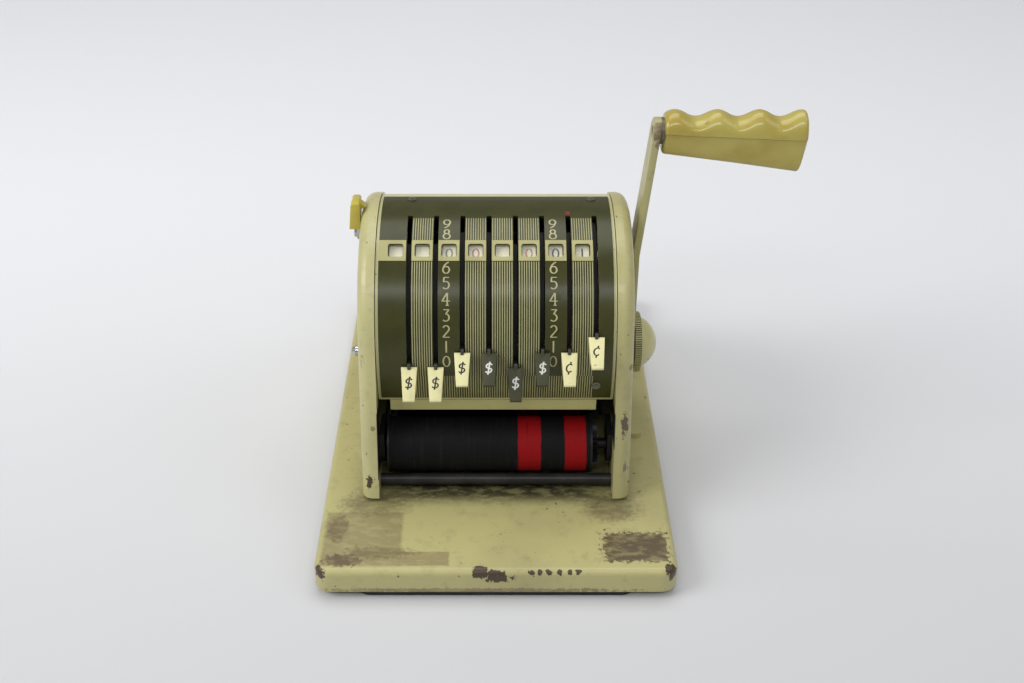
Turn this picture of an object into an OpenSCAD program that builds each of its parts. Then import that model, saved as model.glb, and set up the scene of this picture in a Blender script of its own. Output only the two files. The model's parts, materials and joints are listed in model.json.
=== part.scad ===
// Check writer: a desk machine that prints an amount on a check.
// Eight setting levers turn type sectors behind a slotted face plate. Pulling
// the side handle forward turns a cross shaft whose pinions lift the platen
// against ribbon and type. Millimetres, +X right, +Y back, +Z up; the origin
// is the middle of the base's footprint on the table.

/* [Base] */
// Width of the base
base_w = 170; // [164:1:200]
// Depth of the base
base_d = 262; // [250:1:300]
// Height of the base casting
base_h = 12.5; // [12.4:0.1:16]
// Wall of the base
base_wall = 3; // [2:0.2:3.4]
// Radius of the base's upright corners
base_corner = 8; // [6:0.5:14]
// Rounding of the base's top edge
base_round = 3.2; // [2:0.2:4]
// Thickness of the rubber pad under the bottom plate
pad_t = 2; // [1:0.5:6]
// Thickness of the bottom plate
bottom_t = 2; // [1:0.5:3]
// Inset of the bottom plate from the base's sides
bottom_inset = 18; // [10:1:24]
// Inset of the bottom plate from the base's front and back
bottom_inset_y = 1.5; // [1:0.5:10]

/* [Head] */
// Outer radius of the curved face
face_r = 58.6; // [58:0.1:60]
// Height of the face's centre above the base
axis_h = 66.5; // [66.4:0.1:70]
// Distance of the face's centre in front of the base's middle
axis_front = 4.2; // [0:0.2:12]
// Distance from the left casting to the first lever
left_room = 16.1; // [16:0.1:20]
// Distance from the last lever to the right casting
right_room = 10; // [10:0.1:14]
// Thickness of a side casting
cast_t = 8.5; // [7.5:0.5:10]
// Rounding of the casting's outer edge
cast_round = 5.5; // [3:0.5:6]
// Angle above level where the front leg leaves the arc
front_leg_a = 14; // [11:0.5:16]
// Angle above level in front where the sloping back leaves the arc
back_leg_a = 150; // [146:1:152]
// Height of the paper throat under the front legs
throat_h = 2; // [1.5:0.25:3]
// Depth of the throat behind the print line
throat_back = 11.5; // [11:0.5:12]
// Depth of the pocket inside a side casting
pocket_d = 5; // [3:0.5:5.5]
// Width of the rim round that pocket
pocket_rim = 9; // [7:0.5:12]

/* [Face] */
// Thickness of the face plate
plate_t = 1; // [0.8:0.1:1.2]
// Thickness of the curved cover
cover_t = 1.6; // [1.2:0.1:1.8]
// Width of the cover strip left bare on each side of the plate
cover_strip = 1.5; // [1:0.25:3]
// Angle of the plate's lower edge
plate_a0 = -18.2; // [-20:0.2:-16]
// Angle of the plate's upper edge
plate_a1 = 100; // [95:1:110]
// Angle of the cover's lower edge
cover_a0 = -21; // [-22:0.5:-20.5]
// Width of a lever slot
slot_w = 2.4; // [2.2:0.1:3]
// Play of a lever at each end of its slot, in degrees
slot_play = 0.5; // [0.4:0.1:1]
// Width of a window
window_w = 7.3; // [5:0.1:7.4]
// Height of a window
window_h = 7.1; // [5:0.1:7.6]
// Angle of the windows
window_a = 58.2; // [57:0.1:60]
// Height of the raised frame round a window
frame_h = 11.2; // [9:0.2:12]
// Thickness of the raised frame
frame_t = 0.3; // [0.2:0.05:0.4]

/* [Levers] */
// Distance between neighbouring levers
pitch = 12.7; // [12.5:0.1:14]
// Step of a lever from one figure to the next
step_a = 7.46; // [7.2:0.02:7.5]
// Angle of a lever in its lowest, blank place
blank_a = -2.9; // [-3:0.1:-2]
// Distance from a slot to its window
window_off = 6.3; // [6.1:0.1:6.6]
// Thickness of a sector plate
sector_t = 1.6; // [1.2:0.1:2]
// Radius of a sector's notched rim
rim_r = 46; // [44:0.5:46.5]
// Radius of the type faces
type_r = 55.2; // [54.4:0.1:55.4]
// Width of a type face
type_w = 4.8; // [4:0.2:5]
// Radius of the sector shaft
sector_shaft_r = 4; // [3:0.25:5]
// Radius of a sector's hub
hub_r = 8; // [6.5:0.5:10]

/* [Tabs] */
// Length of a tab's face
tab_len = 15.2; // [14:0.2:16]
// Width of a tab at its top
tab_w0 = 7.6; // [7:0.1:9]
// Width of a tab at its bottom
tab_w1 = 5.4; // [4.5:0.1:7]
// Tilt of a tab's face out of the tangent
tab_tilt = 46; // [38:1:50]
// Radius at the middle of a tab's face
tab_r = 66; // [65.5:0.5:68]

/* [Handle] */
// Height of the handle shaft above the base
handle_h = 41.5; // [40:0.5:43]
// Distance of the handle shaft behind the face's centre
handle_back = 5; // [4:0.5:6]
// Radius of the handle shaft
handle_shaft_r = 4.5; // [4:0.25:5]
// Length of the arm from pivot to grip
arm_len = 119.7; // [100:0.5:135]
// Width of the arm
arm_w = 14.5; // [12:0.5:20]
// Thickness of the arm
arm_t = 3.5; // [2.5:0.1:4]
// Height above the pivot where the arm bends outward
arm_bend_h = 56; // [45:1:75]
// Outward lean of the upper arm
arm_lean = 5.7; // [3:0.1:7]
// Length of the grip
grip_len = 70; // [60:1:90]
// Thickness of the grip, front to back
grip_w = 19; // [16:0.5:22]
// Drop of the grip's underside from inner to outer end
grip_drop = 9.6; // [4:0.2:11]
// Distance between the finger crests of the grip
grip_pitch = 21; // [18:0.5:24]
// Depth of its finger hollows, crest to trough
grip_scallop = 4; // [1:0.2:5]
// Radius of the knurled ring
ring_r = 16; // [14:0.5:18]
// Thickness of the knurled ring
ring_t = 3.6; // [3:0.1:6]
// Radius of the domed cap
cap_r = 13.5; // [11:0.5:14]
// Height of the domed cap
cap_h = 9; // [6:0.5:12]
// Swing of the handle
handle_swing_a = 70; // [60:1:72]

/* [Ribbon] */
// Radius of the wound ribbon in front
ribbon_r = 13.8; // [11:0.2:13.9]
// Radius of the guide rod
guide_r = 2.9; // [2:0.1:3]
// Distance from the left casting to the ribbon
ribbon_left = 4.9; // [4.8:0.1:8]
// Distance from the ribbon to the right casting
ribbon_right = 10.9; // [10.9:0.1:13]
// Distance of the supply spool in front of the face's centre
supply_front = 52; // [51:0.5:53]
// Height of the supply spool above the base
supply_h = 17.5; // [17:0.1:18]
// Distance of the take-up spool behind the face's centre
takeup_back = 69.5; // [69:0.5:72]
// Height of the take-up spool above the base
takeup_h = 21; // [20:0.5:24]
// Distance of the guide rod in front of the face's centre
guide_front = 65; // [64.5:0.1:66]
// Height of the guide rod above the base
guide_h = 5.2; // [5.1:0.1:5.6]
// Radius of the wound ribbon on the take-up spool
takeup_r = 10; // [7:0.2:10]

/* [Drive] */
// Tooth module of pinion and rack
tooth_m = 1.5; // [1.4:0.05:1.5]
// Number of pinion teeth
pinion_n = 12; // [12:1:12]
// Thickness of pinions and racks
gear_t = 3; // [2.5:0.1:3.2]

/* [Hidden] */
$fn = 96;

// Finishes
enamel = "#c9c38f";
olive = "#4a4b3a";
cream = "#dcd8ad";
yellow = "#e3d56a";
steel = "#8f9194";
bronze = "#9a7b45";
black = "#1b1b1d";
grey_rubber = "#303030";
dark_steel = "#5c5d60";

// Clearances
seat = 0.02;          // faces that touch within one body
skin_gap = 0.06;      // curved skins that lie on each other
run_gap = 0.05;       // shaft in its bore, radial
side_gap = 0.3;       // pieces that pass or stand next to each other
cut = 1;              // overrun of cutting solids

// Levels and places
base_z0 = pad_t + bottom_t;
top_z = base_z0 + base_h;
ax_y = -axis_front;
ax_z = top_z + axis_h;
levers = 8;
steps = 10;
figure_at_rest = [0, 0, 1, 1, 0, 1, 1, 2];
tab_dark = [false, false, false, true, true, true, false, false];
in_x = (left_room + (levers - 1) * pitch + right_room) / 2;
out_x = in_x + cast_t;
first_x = -in_x + left_room;
plate_r = face_r - plate_t;          // outer radius of the cover
cover_r = plate_r - cover_t;         // inner radius of the cover
cover_x = in_x - side_gap;
plate_x = cover_x - cover_strip;
window_corner = 1.3;                 // rounding of a window's corners
lens_rim = 0.7;                      // seat of a lens round its window

// Figure strip, type carrier and lever of a sector
strip_w = 6.6;
strip_r = 54.4;
strip_t = 1;
strip_margin = 5.5;                  // degrees past the first and last figure
carrier_drop = 2;                    // carrier's rim below the type faces
type_h = 3.6;
type_len = 5.4;
hub_gap = 0.2;
stem_w = 2.6;
stem_t = 1.5;
stem_y0 = 4.7;                       // stem's lower edge above the radial line
stem_r = 61;
stem_foot = 5.5;                     // length of the foot inside the tab
arc_play = 0.8;                      // room between handle shaft and arc slot
slot_a0 = blank_a + asin(stem_y0 / face_r) - slot_play;
slot_a1 = blank_a + steps * step_a + asin((stem_y0 + stem_w) / cover_r) + slot_play;
// The cover ends level with the rear panel's upper edge
cover_a1 = 180 - asin((plate_r * sin(back_leg_a) + seat) / cover_r);

// Places of the side works, as (y, z)
handle_y = ax_y + handle_back;
handle_z = top_z + handle_h;
supply_y = ax_y - supply_front;
supply_z = top_z + supply_h;
takeup_y = ax_y + takeup_back;
takeup_z = top_z + takeup_h;
guide_y = ax_y - guide_front;
guide_z = top_z + guide_h;
tie_y = ax_y + 58.3;
tie_z = ax_z - 21.2;
release_y = ax_y - 1.5;
release_z = ax_z + 44.5;
stud_y = ax_y - 12;
stud_z = ax_z - 19.6;

// Rods, bushes and screws
tie_r = 3;
stud_r = 2.8;
rod_seat = 4;                        // depth of a rod's end in its casting
spool_axle_r = 2.5;
bush_wall = 2;
bush_r = handle_shaft_r + bush_wall;
bush_out = 2;
bush_rim = 3;
boss_wall = 4;                       // wall round a bore in a casting's pocket
case_screw_x = in_x + cast_t / 2;
case_screw_y = [ax_y + 30, ax_y + 92];
case_screw_r = 2;
case_screw_len = 12;
case_head_h = 3;
plate_screw_in_x = 11;               // from the bottom plate's edges to its screws
plate_screw_in_y = 25.5;
plate_screw_x = base_w / 2 - bottom_inset - plate_screw_in_x;
plate_screw_y = base_d / 2 - bottom_inset_y - plate_screw_in_y;
plate_screw_r = 1.6;
plate_screw_len = bottom_t + 6;
plate_head_h = 1.6;
face_screw_r = 0.9;
face_head_r = 2.2;
face_screw_places = [[-plate_x + 14.2, 95.5], [plate_x - 8.8, 95.5], [plate_x - 7.5, -9.2]];

// Detent bar behind the sectors
detent_bar_a = 166;
detent_bar_r = 51;
detent_bar_w = 5;
detent_bar_h = 6;
detent_tip_a = 150;

// Ribbon, spools and their bearings
ribbon_x0 = -in_x + ribbon_left;
ribbon_x1 = in_x - ribbon_right;
core_r = 7;
flange_t = 1;
flange_out = 0.6;
ratchet_n = 24;
ratchet_r = 11;
ratchet_t = 2.8;
bearing_r = 9;
bearing_t = 2.4;
bearing_rise = 12;
collar_wall = 1.5;

// Handle, from the casting outwards
arm_gap = 2.5;
arm_x0 = out_x + arm_gap;
ring_x0 = arm_x0 + arm_t + 0.1;
arm_out = arm_x0 + arm_t + (arm_len - arm_bend_h) * tan(arm_lean);
grip_x0 = arm_out + 4;
grip_z = handle_z + arm_len;
stud_end = out_x + 8;
grip_bolt_r = 3;
grip_washer_r = 7.5;
knurls = 72;
knurl_depth = 0.45;

// Release lever on the left casting
lever_post_r = 1.8;
release_t = 1.8;
release_x = -out_x - 0.8;            // inner face of the bar
release_len = 13.5;
release_w = 8;

// Pinion and rack
pitch_r = tooth_m * pinion_n / 2;
press_a = 25;
backlash = 0.15;
rack_y = handle_y + pitch_r;
rack_back = 2.6;
gear_x1 = in_x - 1;
gear_x0 = gear_x1 - gear_t;
lift = pitch_r * handle_swing_a * PI / 180;

// Platen: its raised top stays a paper's thickness under the ribbon
ribbon_t = 0.2;
ribbon_z = ax_z - type_r - side_gap - ribbon_t;
platen_top = ribbon_z - side_gap - lift;
platen_w = 6;
pad_h = 3;
platen_x = in_x - 7.5;
carriage_z = base_z0 + side_gap;
slot_gap = 0.6;                      // room round the carriage in the base
rack_end_y = rack_y + rack_back + tooth_m;

// Sectors' slot that the handle shaft passes through
sector_hole_r = sqrt(pow(handle_back, 2) + pow(ax_z - handle_z, 2));
shaft_place_a = atan2(handle_z - ax_z, -handle_back);
arc_gap = handle_shaft_r + arc_play;
arc_half_a = asin(arc_gap / sector_hole_r);

function slot_x(i) = first_x + i * pitch;
function lever_a(i) = blank_a + figure_at_rest[i] * step_a;
function on_circle(r, a) = [r * cos(a), r * sin(a)];

// ---------- helpers -------------------------------------------------

// Puts a drawing whose x runs forward and y up at the face's centre,
// with its thickness running from x_high towards the left.
module at_axis(x_high) {
    translate([x_high, ax_y, ax_z])
        rotate([90, 0, -90])
            children();
}

// The same, at another place in the side view.
module at_side(x_high, y, z) {
    translate([x_high, y, z])
        rotate([90, 0, -90])
            children();
}

// Curved band about the local z axis from angle a0 to a1.
module band(r0, r1, a0, a1, w) {
    rotate([0, 0, a0])
        rotate_extrude(angle = a1 - a0)
            translate([r0, 0])
                square([r1 - r0, w]);
}

// Rod along X.
module rod_x(x0, x1, y, z, r) {
    translate([x0, y, z])
        rotate([0, 90, 0])
            cylinder(h = x1 - x0, r = r);
}

// Rectangle with round corners, centred.
module round_rect(w, h, r) {
    square([w - 2 * r, h], center = true);
    square([w, h - 2 * r], center = true);
    for (x = [-1, 1], y = [-1, 1])
        translate([x * (w / 2 - r), y * (h / 2 - r)])
            circle(r);
}

// Side outline of the head, moved inward by d and cut off at height v.
module head_outline(d, v) {
    r = face_r - d;
    front = on_circle(r, front_leg_a);
    back = on_circle(r, back_leg_a);
    front_u = front[0] + (front[1] - v) * tan(front_leg_a);
    back_u = back[0] - (back[1] - v) * tan(180 - back_leg_a);
    intersection() {
        union() {
            circle(r);
            polygon([[0, 0], front, [front_u, v], [back_u, v], back]);
        }
        translate([-3 * face_r, v])
            square([6 * face_r, 3 * face_r]);
    }
}

// Screw with a cheese head and a driver slot; the head's face is at z = 0.
module screw(r, len, head_r, head_h, slot = 0.7) {
    difference() {
        union() {
            translate([0, 0, -head_h])
                cylinder(h = head_h, r = head_r);
            translate([0, 0, -head_h - len])
                cylinder(h = len + cut, r = r);
        }
        translate([-head_r - cut, -slot / 2, -head_h / 2])
            cube([2 * (head_r + cut), slot, head_h]);
    }
}

// ---------- base ----------------------------------------------------

// Slot that the platen and the two racks rise through.
module base_slots() {
    z0 = top_z - 2 * base_wall;
    h = 3 * base_wall;
    slot_x1 = gear_x1 + slot_gap;
    translate([-slot_x1, ax_y - platen_w / 2 - slot_gap, z0])
        cube([2 * slot_x1, platen_w + 2 * slot_gap, h]);
    for (x = [-slot_x1, gear_x0 - slot_gap])
        translate([x, ax_y, z0])
            cube([gear_t + 2 * slot_gap, rack_end_y + slot_gap - ax_y, h]);
}

module base() {
    boss_r = 5;
    color(enamel)
    difference() {
        hull()
            for (x = [-1, 1], y = [-1, 1])
                translate([x * (base_w / 2 - base_corner),
                           y * (base_d / 2 - base_corner), base_z0]) {
                    cylinder(h = base_h - base_round, r = base_corner, $fn = 32);
                    translate([0, 0, base_h - base_round])
                        rotate_extrude($fn = 32)
                            intersection() {
                                translate([base_corner - base_round, 0])
                                    circle(base_round, $fn = 32);
                                square(base_corner + cut);
                            }
                }
        // hollow underside
        translate([0, 0, base_z0 - cut])
            linear_extrude(base_h - base_wall + cut)
                round_rect(base_w - 2 * base_wall, base_d - 2 * base_wall,
                           base_corner - base_wall);
        base_slots();
        // screws up into the castings
        for (s = [-1, 1], y = case_screw_y)
            translate([s * case_screw_x, y, top_z - 2 * base_wall])
                cylinder(h = 3 * base_wall, r = case_screw_r + slot_gap / 2);
    }
    // bosses that take the bottom plate's screws
    color(enamel)
    for (x = [-1, 1], y = [-1, 1])
        translate([x * plate_screw_x, y * plate_screw_y, base_z0])
            difference() {
                cylinder(h = base_h - base_wall + 0.5, r = boss_r);
                translate([0, 0, -cut])
                    cylinder(h = plate_screw_len - bottom_t + 2 * cut, r = plate_screw_r);
            }
}

module bottom_plate() {
    color(grey_rubber)
    difference() {
        translate([0, 0, pad_t])
            linear_extrude(bottom_t)
                round_rect(base_w - 2 * bottom_inset, base_d - 2 * bottom_inset_y,
                           base_corner);
        for (x = [-1, 1], y = [-1, 1])
            translate([x * plate_screw_x, y * plate_screw_y, -cut])
                cylinder(h = 3 * bottom_t + pad_t, r = plate_screw_r + 0.4);
    }
}

module base_pad() {
    color(black)
    difference() {
        linear_extrude(pad_t - seat)
            round_rect(base_w - 2 * bottom_inset - 2, base_d - 2 * bottom_inset_y - 1,
                       base_corner - 1);
        for (x = [-1, 1], y = [-1, 1])
            translate([x * plate_screw_x, y * plate_screw_y, -cut])
                cylinder(h = pad_t + 2 * cut, r = 4);
    }
}

module plate_screws() {
    color(steel)
    for (x = [-1, 1], y = [-1, 1])
        translate([x * plate_screw_x, y * plate_screw_y, pad_t - plate_head_h - seat])
            mirror([0, 0, 1])
                screw(plate_screw_r - seat, plate_screw_len, 2 * plate_screw_r, plate_head_h);
}

// ---------- side castings -------------------------------------------

module casting_blank() {
    v0 = top_z - ax_z;
    front = on_circle(face_r, front_leg_a);
    back = on_circle(face_r, back_leg_a);
    front_u = front[0] + (front[1] - v0) * tan(front_leg_a);
    back_u = back[0] - (back[1] - v0) * tan(180 - back_leg_a);
    flat = cast_t - cast_round;
    // drawn with the inner face at local z = 0, outer face above
    hull() {
        rotate_extrude() {
            square([face_r, flat]);
            square([face_r - cast_round, cast_t]);
            intersection() {
                translate([face_r - cast_round, flat])
                    circle(cast_round, $fn = 32);
                square(face_r + cut);
            }
        }
        for (u = [front_u - cast_round, back_u + cast_round])
            intersection() {
                translate([u, v0, flat])
                    rotate([-90, 0, 0])
                        cylinder(h = 0.5, r = cast_round, $fn = 32);
                translate([u - cast_round, v0, 0])
                    cube([2 * cast_round, 1, cast_t]);
            }
        translate([back_u, v0, 0])
            cube([front_u - back_u, 0.5, flat]);
    }
}

module casting_pocket() {
    rim_v = top_z - ax_z + 14;
    linear_extrude(pocket_d)
        difference() {
            head_outline(pocket_rim, rim_v);
            // bosses left standing, each as (y, z, radius)
            for (b = [[ax_y, ax_z, sector_shaft_r + 7], [handle_y, handle_z, bush_r + boss_wall],
                      [takeup_y, takeup_z, spool_axle_r + boss_wall],
                      [supply_y, supply_z, spool_axle_r + boss_wall],
                      [tie_y, tie_z, tie_r + 5], [release_y, release_z, lever_post_r + 5],
                      [stud_y, stud_z, stud_r + boss_wall]])
                translate([ax_y - b[0], b[1] - ax_z])
                    circle(b[2]);
            // web that carries the detent bar
            rotate([0, 0, detent_bar_a])
                translate([detent_bar_r, 0])
                    circle(7);
        }
}

// Bores and holes common to both castings, at their place in the machine.
module casting_holes() {
    end_x = in_x + rod_seat + 2 * seat;
    rod_x(-end_x - 1, end_x + 1, ax_y, ax_z, sector_shaft_r + seat);
    rod_x(-out_x - cut, out_x + cut, handle_y, handle_z, bush_r + seat);
    rod_x(-end_x - 1, end_x + 1, takeup_y, takeup_z, spool_axle_r + run_gap);
    rod_x(-end_x - 1, end_x + 1, supply_y, supply_z, spool_axle_r + collar_wall);
    rod_x(-end_x, end_x, guide_y, guide_z, guide_r + seat);
    rod_x(-end_x - 1, end_x + 1, tie_y, tie_z, tie_r + seat);
    for (s = [-1, 1], y = case_screw_y)
        translate([s * case_screw_x, y, top_z - cut])
            cylinder(h = case_screw_len + cut, r = case_screw_r + seat);
    // paper throat
    translate([-out_x - cut, ax_y - base_d, top_z - cut])
        cube([2 * (out_x + cut), base_d + throat_back, throat_h + cut]);
}

module right_casting() {
    color(enamel)
    difference() {
        translate([in_x, ax_y, ax_z])
            rotate([90, 0, -90])
                mirror([0, 0, 1])
                    difference() {
                        casting_blank();
                        translate([0, 0, -0.001])
                            casting_pocket();
                    }
        casting_holes();
    }
}

module left_casting() {
    color(enamel)
    difference() {
        translate([-in_x, ax_y, ax_z])
            rotate([90, 0, -90])
                difference() {
                    casting_blank();
                    translate([0, 0, -0.001])
                        casting_pocket();
                }
        casting_holes();
        rod_x(-out_x - cut, -in_x - 1, release_y, release_z, lever_post_r + seat);
        rod_x(-out_x - cut, -in_x - 1, stud_y, stud_z, stud_r + seat);
    }
}

// ---------- cover and face -----------------------------------------

module slots(r0, r1) {
    for (i = [0 : levers - 1])
        at_axis(slot_x(i) + slot_w / 2)
            band(r0, r1, slot_a0, slot_a1, slot_w);
}

module windows(w, h, r0, r1) {
    for (i = [0 : levers - 1])
        at_axis(slot_x(i) - window_off)
            rotate([0, 0, window_a])
                translate([r0, 0, 0])
                    rotate([90, 0, 90])
                        linear_extrude(r1 - r0)
                            round_rect(h, w, window_corner);
}

// Square-cornered openings behind the frames, with radial ends.
module window_cuts(w, h, r0, r1) {
    half_a = h / 2 / face_r * 180 / PI;
    for (i = [0 : levers - 1])
        at_axis(slot_x(i) - window_off + w / 2)
            band(r0, r1, window_a - half_a, window_a + half_a, w);
}

module cover() {
    color(cream)
    difference() {
        at_axis(cover_x)
            band(cover_r, plate_r, cover_a0, cover_a1, 2 * cover_x);
        slots(cover_r - 1, plate_r + 1);
        window_cuts(window_w + 2 * lens_rim, window_h + 2 * lens_rim, cover_r - 1, plate_r + 1);
        face_screw_holes();
    }
}

module rear_panel() {
    top = on_circle(plate_r, back_leg_a);
    v0 = top_z - ax_z + side_gap;
    back_u = top[0] - (top[1] - v0) * tan(180 - back_leg_a);
    shift = cover_t / sin(back_leg_a - 90);
    color(enamel)
    at_axis(cover_x)
        linear_extrude(2 * cover_x)
            polygon([top, [top[0] + shift, top[1]], [back_u + shift, v0], [back_u, v0]]);
}

module face_plate() {
    color(olive)
    difference() {
        at_axis(plate_x)
            band(plate_r + skin_gap, face_r, plate_a0, plate_a1, 2 * plate_x);
        slots(plate_r - 1, face_r + 1);
        window_cuts(window_w, window_h, plate_r - 1, face_r + 1);
        face_screw_holes();
    }
}

module window_frames() {
    half_a = frame_h / 2 / face_r * 180 / PI;
    edge = slot_w / 2 + 0.15;
    color(cream)
    for (i = [0 : levers - 1]) {
        x1 = slot_x(i) - edge;
        x0 = i == 0 ? -plate_x : slot_x(i - 1) + edge;
        difference() {
            at_axis(x1)
                band(face_r + skin_gap, face_r + frame_t, window_a - half_a,
                     window_a + half_a, x1 - x0);
            windows(window_w, window_h, face_r - 2, face_r + 2);
        }
    }
}

module window_lenses() {
    gap = 0.1;
    color("#e8eef0", 0.35)
    window_cuts(window_w + 2 * lens_rim - gap, window_h + 2 * lens_rim - gap, cover_r + 0.3,
                plate_r - skin_gap);
}

module face_screw_holes() {
    for (p = face_screw_places)
        at_axis(p[0])
            rotate([0, 0, p[1]])
                translate([cover_r - 1, 0, 0])
                    rotate([0, 90, 0])
                        cylinder(h = face_r - cover_r + 2, r = face_screw_r + 0.1);
}

module face_screws() {
    color(steel)
    for (p = face_screw_places)
        at_axis(p[0])
            rotate([0, 0, p[1]])
                translate([face_r + 0.6, 0, 0])
                    rotate([0, 90, 0])
                        screw(face_screw_r, face_r - cover_r - 0.1, face_head_r, 0.55, 0.5);
}

module front_bar() {
    bar_x0 = -in_x + 5.7;
    bar_x1 = in_x - 8.3;
    bar_d = 9;
    bar_h = 6;
    lip = on_circle(plate_r, cover_a0);
    color(cream)
    at_axis(bar_x1)
        linear_extrude(bar_x1 - bar_x0)
            difference() {
                translate([lip[0] - bar_d, lip[1] - bar_h - 0.2])
                    square([bar_d, bar_h]);
                circle(type_r + 0.8);
            }
}

// ---------- rods and shafts between the castings -------------------

module guide_rod() {
    color(dark_steel)
    rod_x(-in_x - rod_seat, in_x + rod_seat, guide_y, guide_z, guide_r);
}

module tie_rod() {
    color(steel)
    rod_x(-in_x - rod_seat - 1, in_x + rod_seat + 1, tie_y, tie_z, tie_r);
}

module sector_shaft() {
    color(steel)
    rod_x(-in_x - rod_seat - 1, in_x + rod_seat + 1, ax_y, ax_z, sector_shaft_r);
}

module shaft_spacers() {
    hub_end_l = first_x - pitch / 2 - hub_gap / 2;
    hub_end_r = slot_x(levers - 1) + pitch / 2 + hub_gap / 2;
    color(steel)
    for (e = [[-in_x + hub_gap, hub_end_l], [hub_end_r, in_x - hub_gap]])
        difference() {
            rod_x(e[0], e[1], ax_y, ax_z, hub_r - 2);
            rod_x(e[0] - cut, e[1] + cut, ax_y, ax_z, sector_shaft_r + run_gap);
        }
}

module detent_bar() {
    color(dark_steel)
    at_axis(in_x - 0.1)
        rotate([0, 0, detent_bar_a])
            translate([detent_bar_r, 0, 0])
                linear_extrude(2 * in_x - 0.2)
                    square([detent_bar_w, detent_bar_h], center = true);
}

// Flat springs from the bar's inner face to the notched rims.
module detent_springs() {
    leaf_w = 4;
    leaf_t = 0.5;
    foot_r = detent_bar_r - detent_bar_w / 2 - seat;
    tip_r = rim_r + side_gap;            // just clear of the rim
    color("#a9abad")
    for (i = [0 : levers - 1])
        at_axis(slot_x(i) + leaf_w / 2)
            linear_extrude(leaf_w)
                polygon([
                    on_circle(foot_r, detent_bar_a + 2),
                    on_circle(foot_r - leaf_t, detent_bar_a + 2),
                    on_circle(foot_r - leaf_t - 0.2, detent_tip_a + 2),
                    on_circle(tip_r, detent_tip_a),
                    on_circle(foot_r - leaf_t, detent_tip_a - 2),
                    on_circle(foot_r, detent_tip_a - 1),
                    on_circle(foot_r + 0.1, detent_tip_a + 3)
                ]);
}

module check_stop() {
    // low fence behind the print line, standing on the base
    stop_h = 6;
    stop_foot = 6;
    sheet = 1.2;
    color(steel)
    translate([-platen_x, ax_y + throat_back, top_z + seat]) {
        cube([2 * platen_x, sheet, stop_h]);
        cube([2 * platen_x, stop_foot, sheet]);
    }
}

module rack_guides() {
    post_h = 6;
    clear = 0.15;
    wall_in = 2.2;
    front = rack_y - tooth_m + 0.1;
    color(dark_steel)
    for (s = [-1, 1])
        translate([0, 0, top_z + seat])
            linear_extrude(post_h)
                difference() {
                    translate([s > 0 ? gear_x0 - wall_in : -in_x + seat, front])
                        square([in_x - seat - gear_x0 + wall_in,
                                2 * tooth_m + rack_back + 3]);
                    translate([s > 0 ? gear_x0 - clear : -gear_x1 - clear, front - cut])
                        square([gear_t + 2 * clear,
                                tooth_m + rack_back + tooth_m - 0.1 + clear + cut]);
                }
}

module shaft_bushes() {
    rim_t = bush_out - 0.4;
    color(bronze)
    for (s = [-1, 1])
        difference() {
            union() {
                rod_x(s > 0 ? in_x - 0.6 : -out_x - bush_out,
                      s > 0 ? out_x + bush_out : -in_x + 0.6,
                      handle_y, handle_z, bush_r);
                rod_x(s > 0 ? out_x + seat : -out_x - rim_t,
                      s > 0 ? out_x + rim_t : -out_x - seat,
                      handle_y, handle_z, bush_r + bush_rim);
            }
            rod_x(-out_x - 9, out_x + 9, handle_y, handle_z, handle_shaft_r + run_gap);
        }
}

// ---------- ribbon --------------------------------------------------

module spool(x0, x1, y, z, f_r) {
    rod_x(x0, x1, y, z, core_r);
    rod_x(x0 - flange_t, x0, y, z, f_r);
    rod_x(x1, x1 + flange_t, y, z, f_r);
    rod_x(-in_x - rod_seat, in_x + rod_seat, y, z, spool_axle_r);
}

// Wound ribbon, a sleeve on the spool's core.
module winding(x0, x1, y, z, r) {
    difference() {
        rod_x(x0 + seat, x1 - seat, y, z, r);
        rod_x(x0 - cut, x1 + cut, y, z, core_r + seat);
    }
}

module supply_spool() {
    color(black)
    spool(ribbon_x0, ribbon_x1, supply_y, supply_z, ribbon_r + flange_out);
}

module supply_ribbon() {
    color(black)
    winding(ribbon_x0, ribbon_x1, supply_y, supply_z, ribbon_r);
}

module ratchet_wheel() {
    tooth = 2;
    x0 = ribbon_x1 + flange_t + seat;
    color(black)
    difference() {
        at_side(x0 + ratchet_t, supply_y, supply_z)
            linear_extrude(ratchet_t)
                polygon([for (k = [0 : ratchet_n - 1], j = [0, 1])
                    on_circle(ratchet_r - j * tooth, (k + j * 0.15) * 360 / ratchet_n)]);
        rod_x(x0 - cut, x0 + 5, supply_y, supply_z, spool_axle_r + seat);
    }
}

module takeup_spool() {
    color(black)
    spool(ribbon_x0, ribbon_x1, takeup_y, takeup_z, takeup_r + 3 * flange_out);
}

module takeup_ribbon() {
    color(black)
    winding(ribbon_x0, ribbon_x1, takeup_y, takeup_z, takeup_r);
}

module ribbon_run() {
    // from under the supply winding, level over the platen, to the take-up winding
    start_u = supply_front - 2.2;
    start_v = supply_z - ribbon_r - side_gap - ax_z;
    level_v = ribbon_z - ax_z;
    level_u = 7;                         // half the level stretch over the platen
    end_u = -takeup_back;
    end_v = takeup_z - takeup_r - side_gap - ribbon_t - ax_z;
    color(black)
    at_axis(ribbon_x1 - 0.5)
        linear_extrude(ribbon_x1 - ribbon_x0 - 1)
            polygon([
                [start_u, start_v], [level_u, level_v], [-level_u, level_v], [end_u, end_v],
                [end_u, end_v + ribbon_t], [-level_u, level_v + ribbon_t],
                [level_u, level_v + ribbon_t], [start_u, start_v + ribbon_t]
            ]);
}

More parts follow.
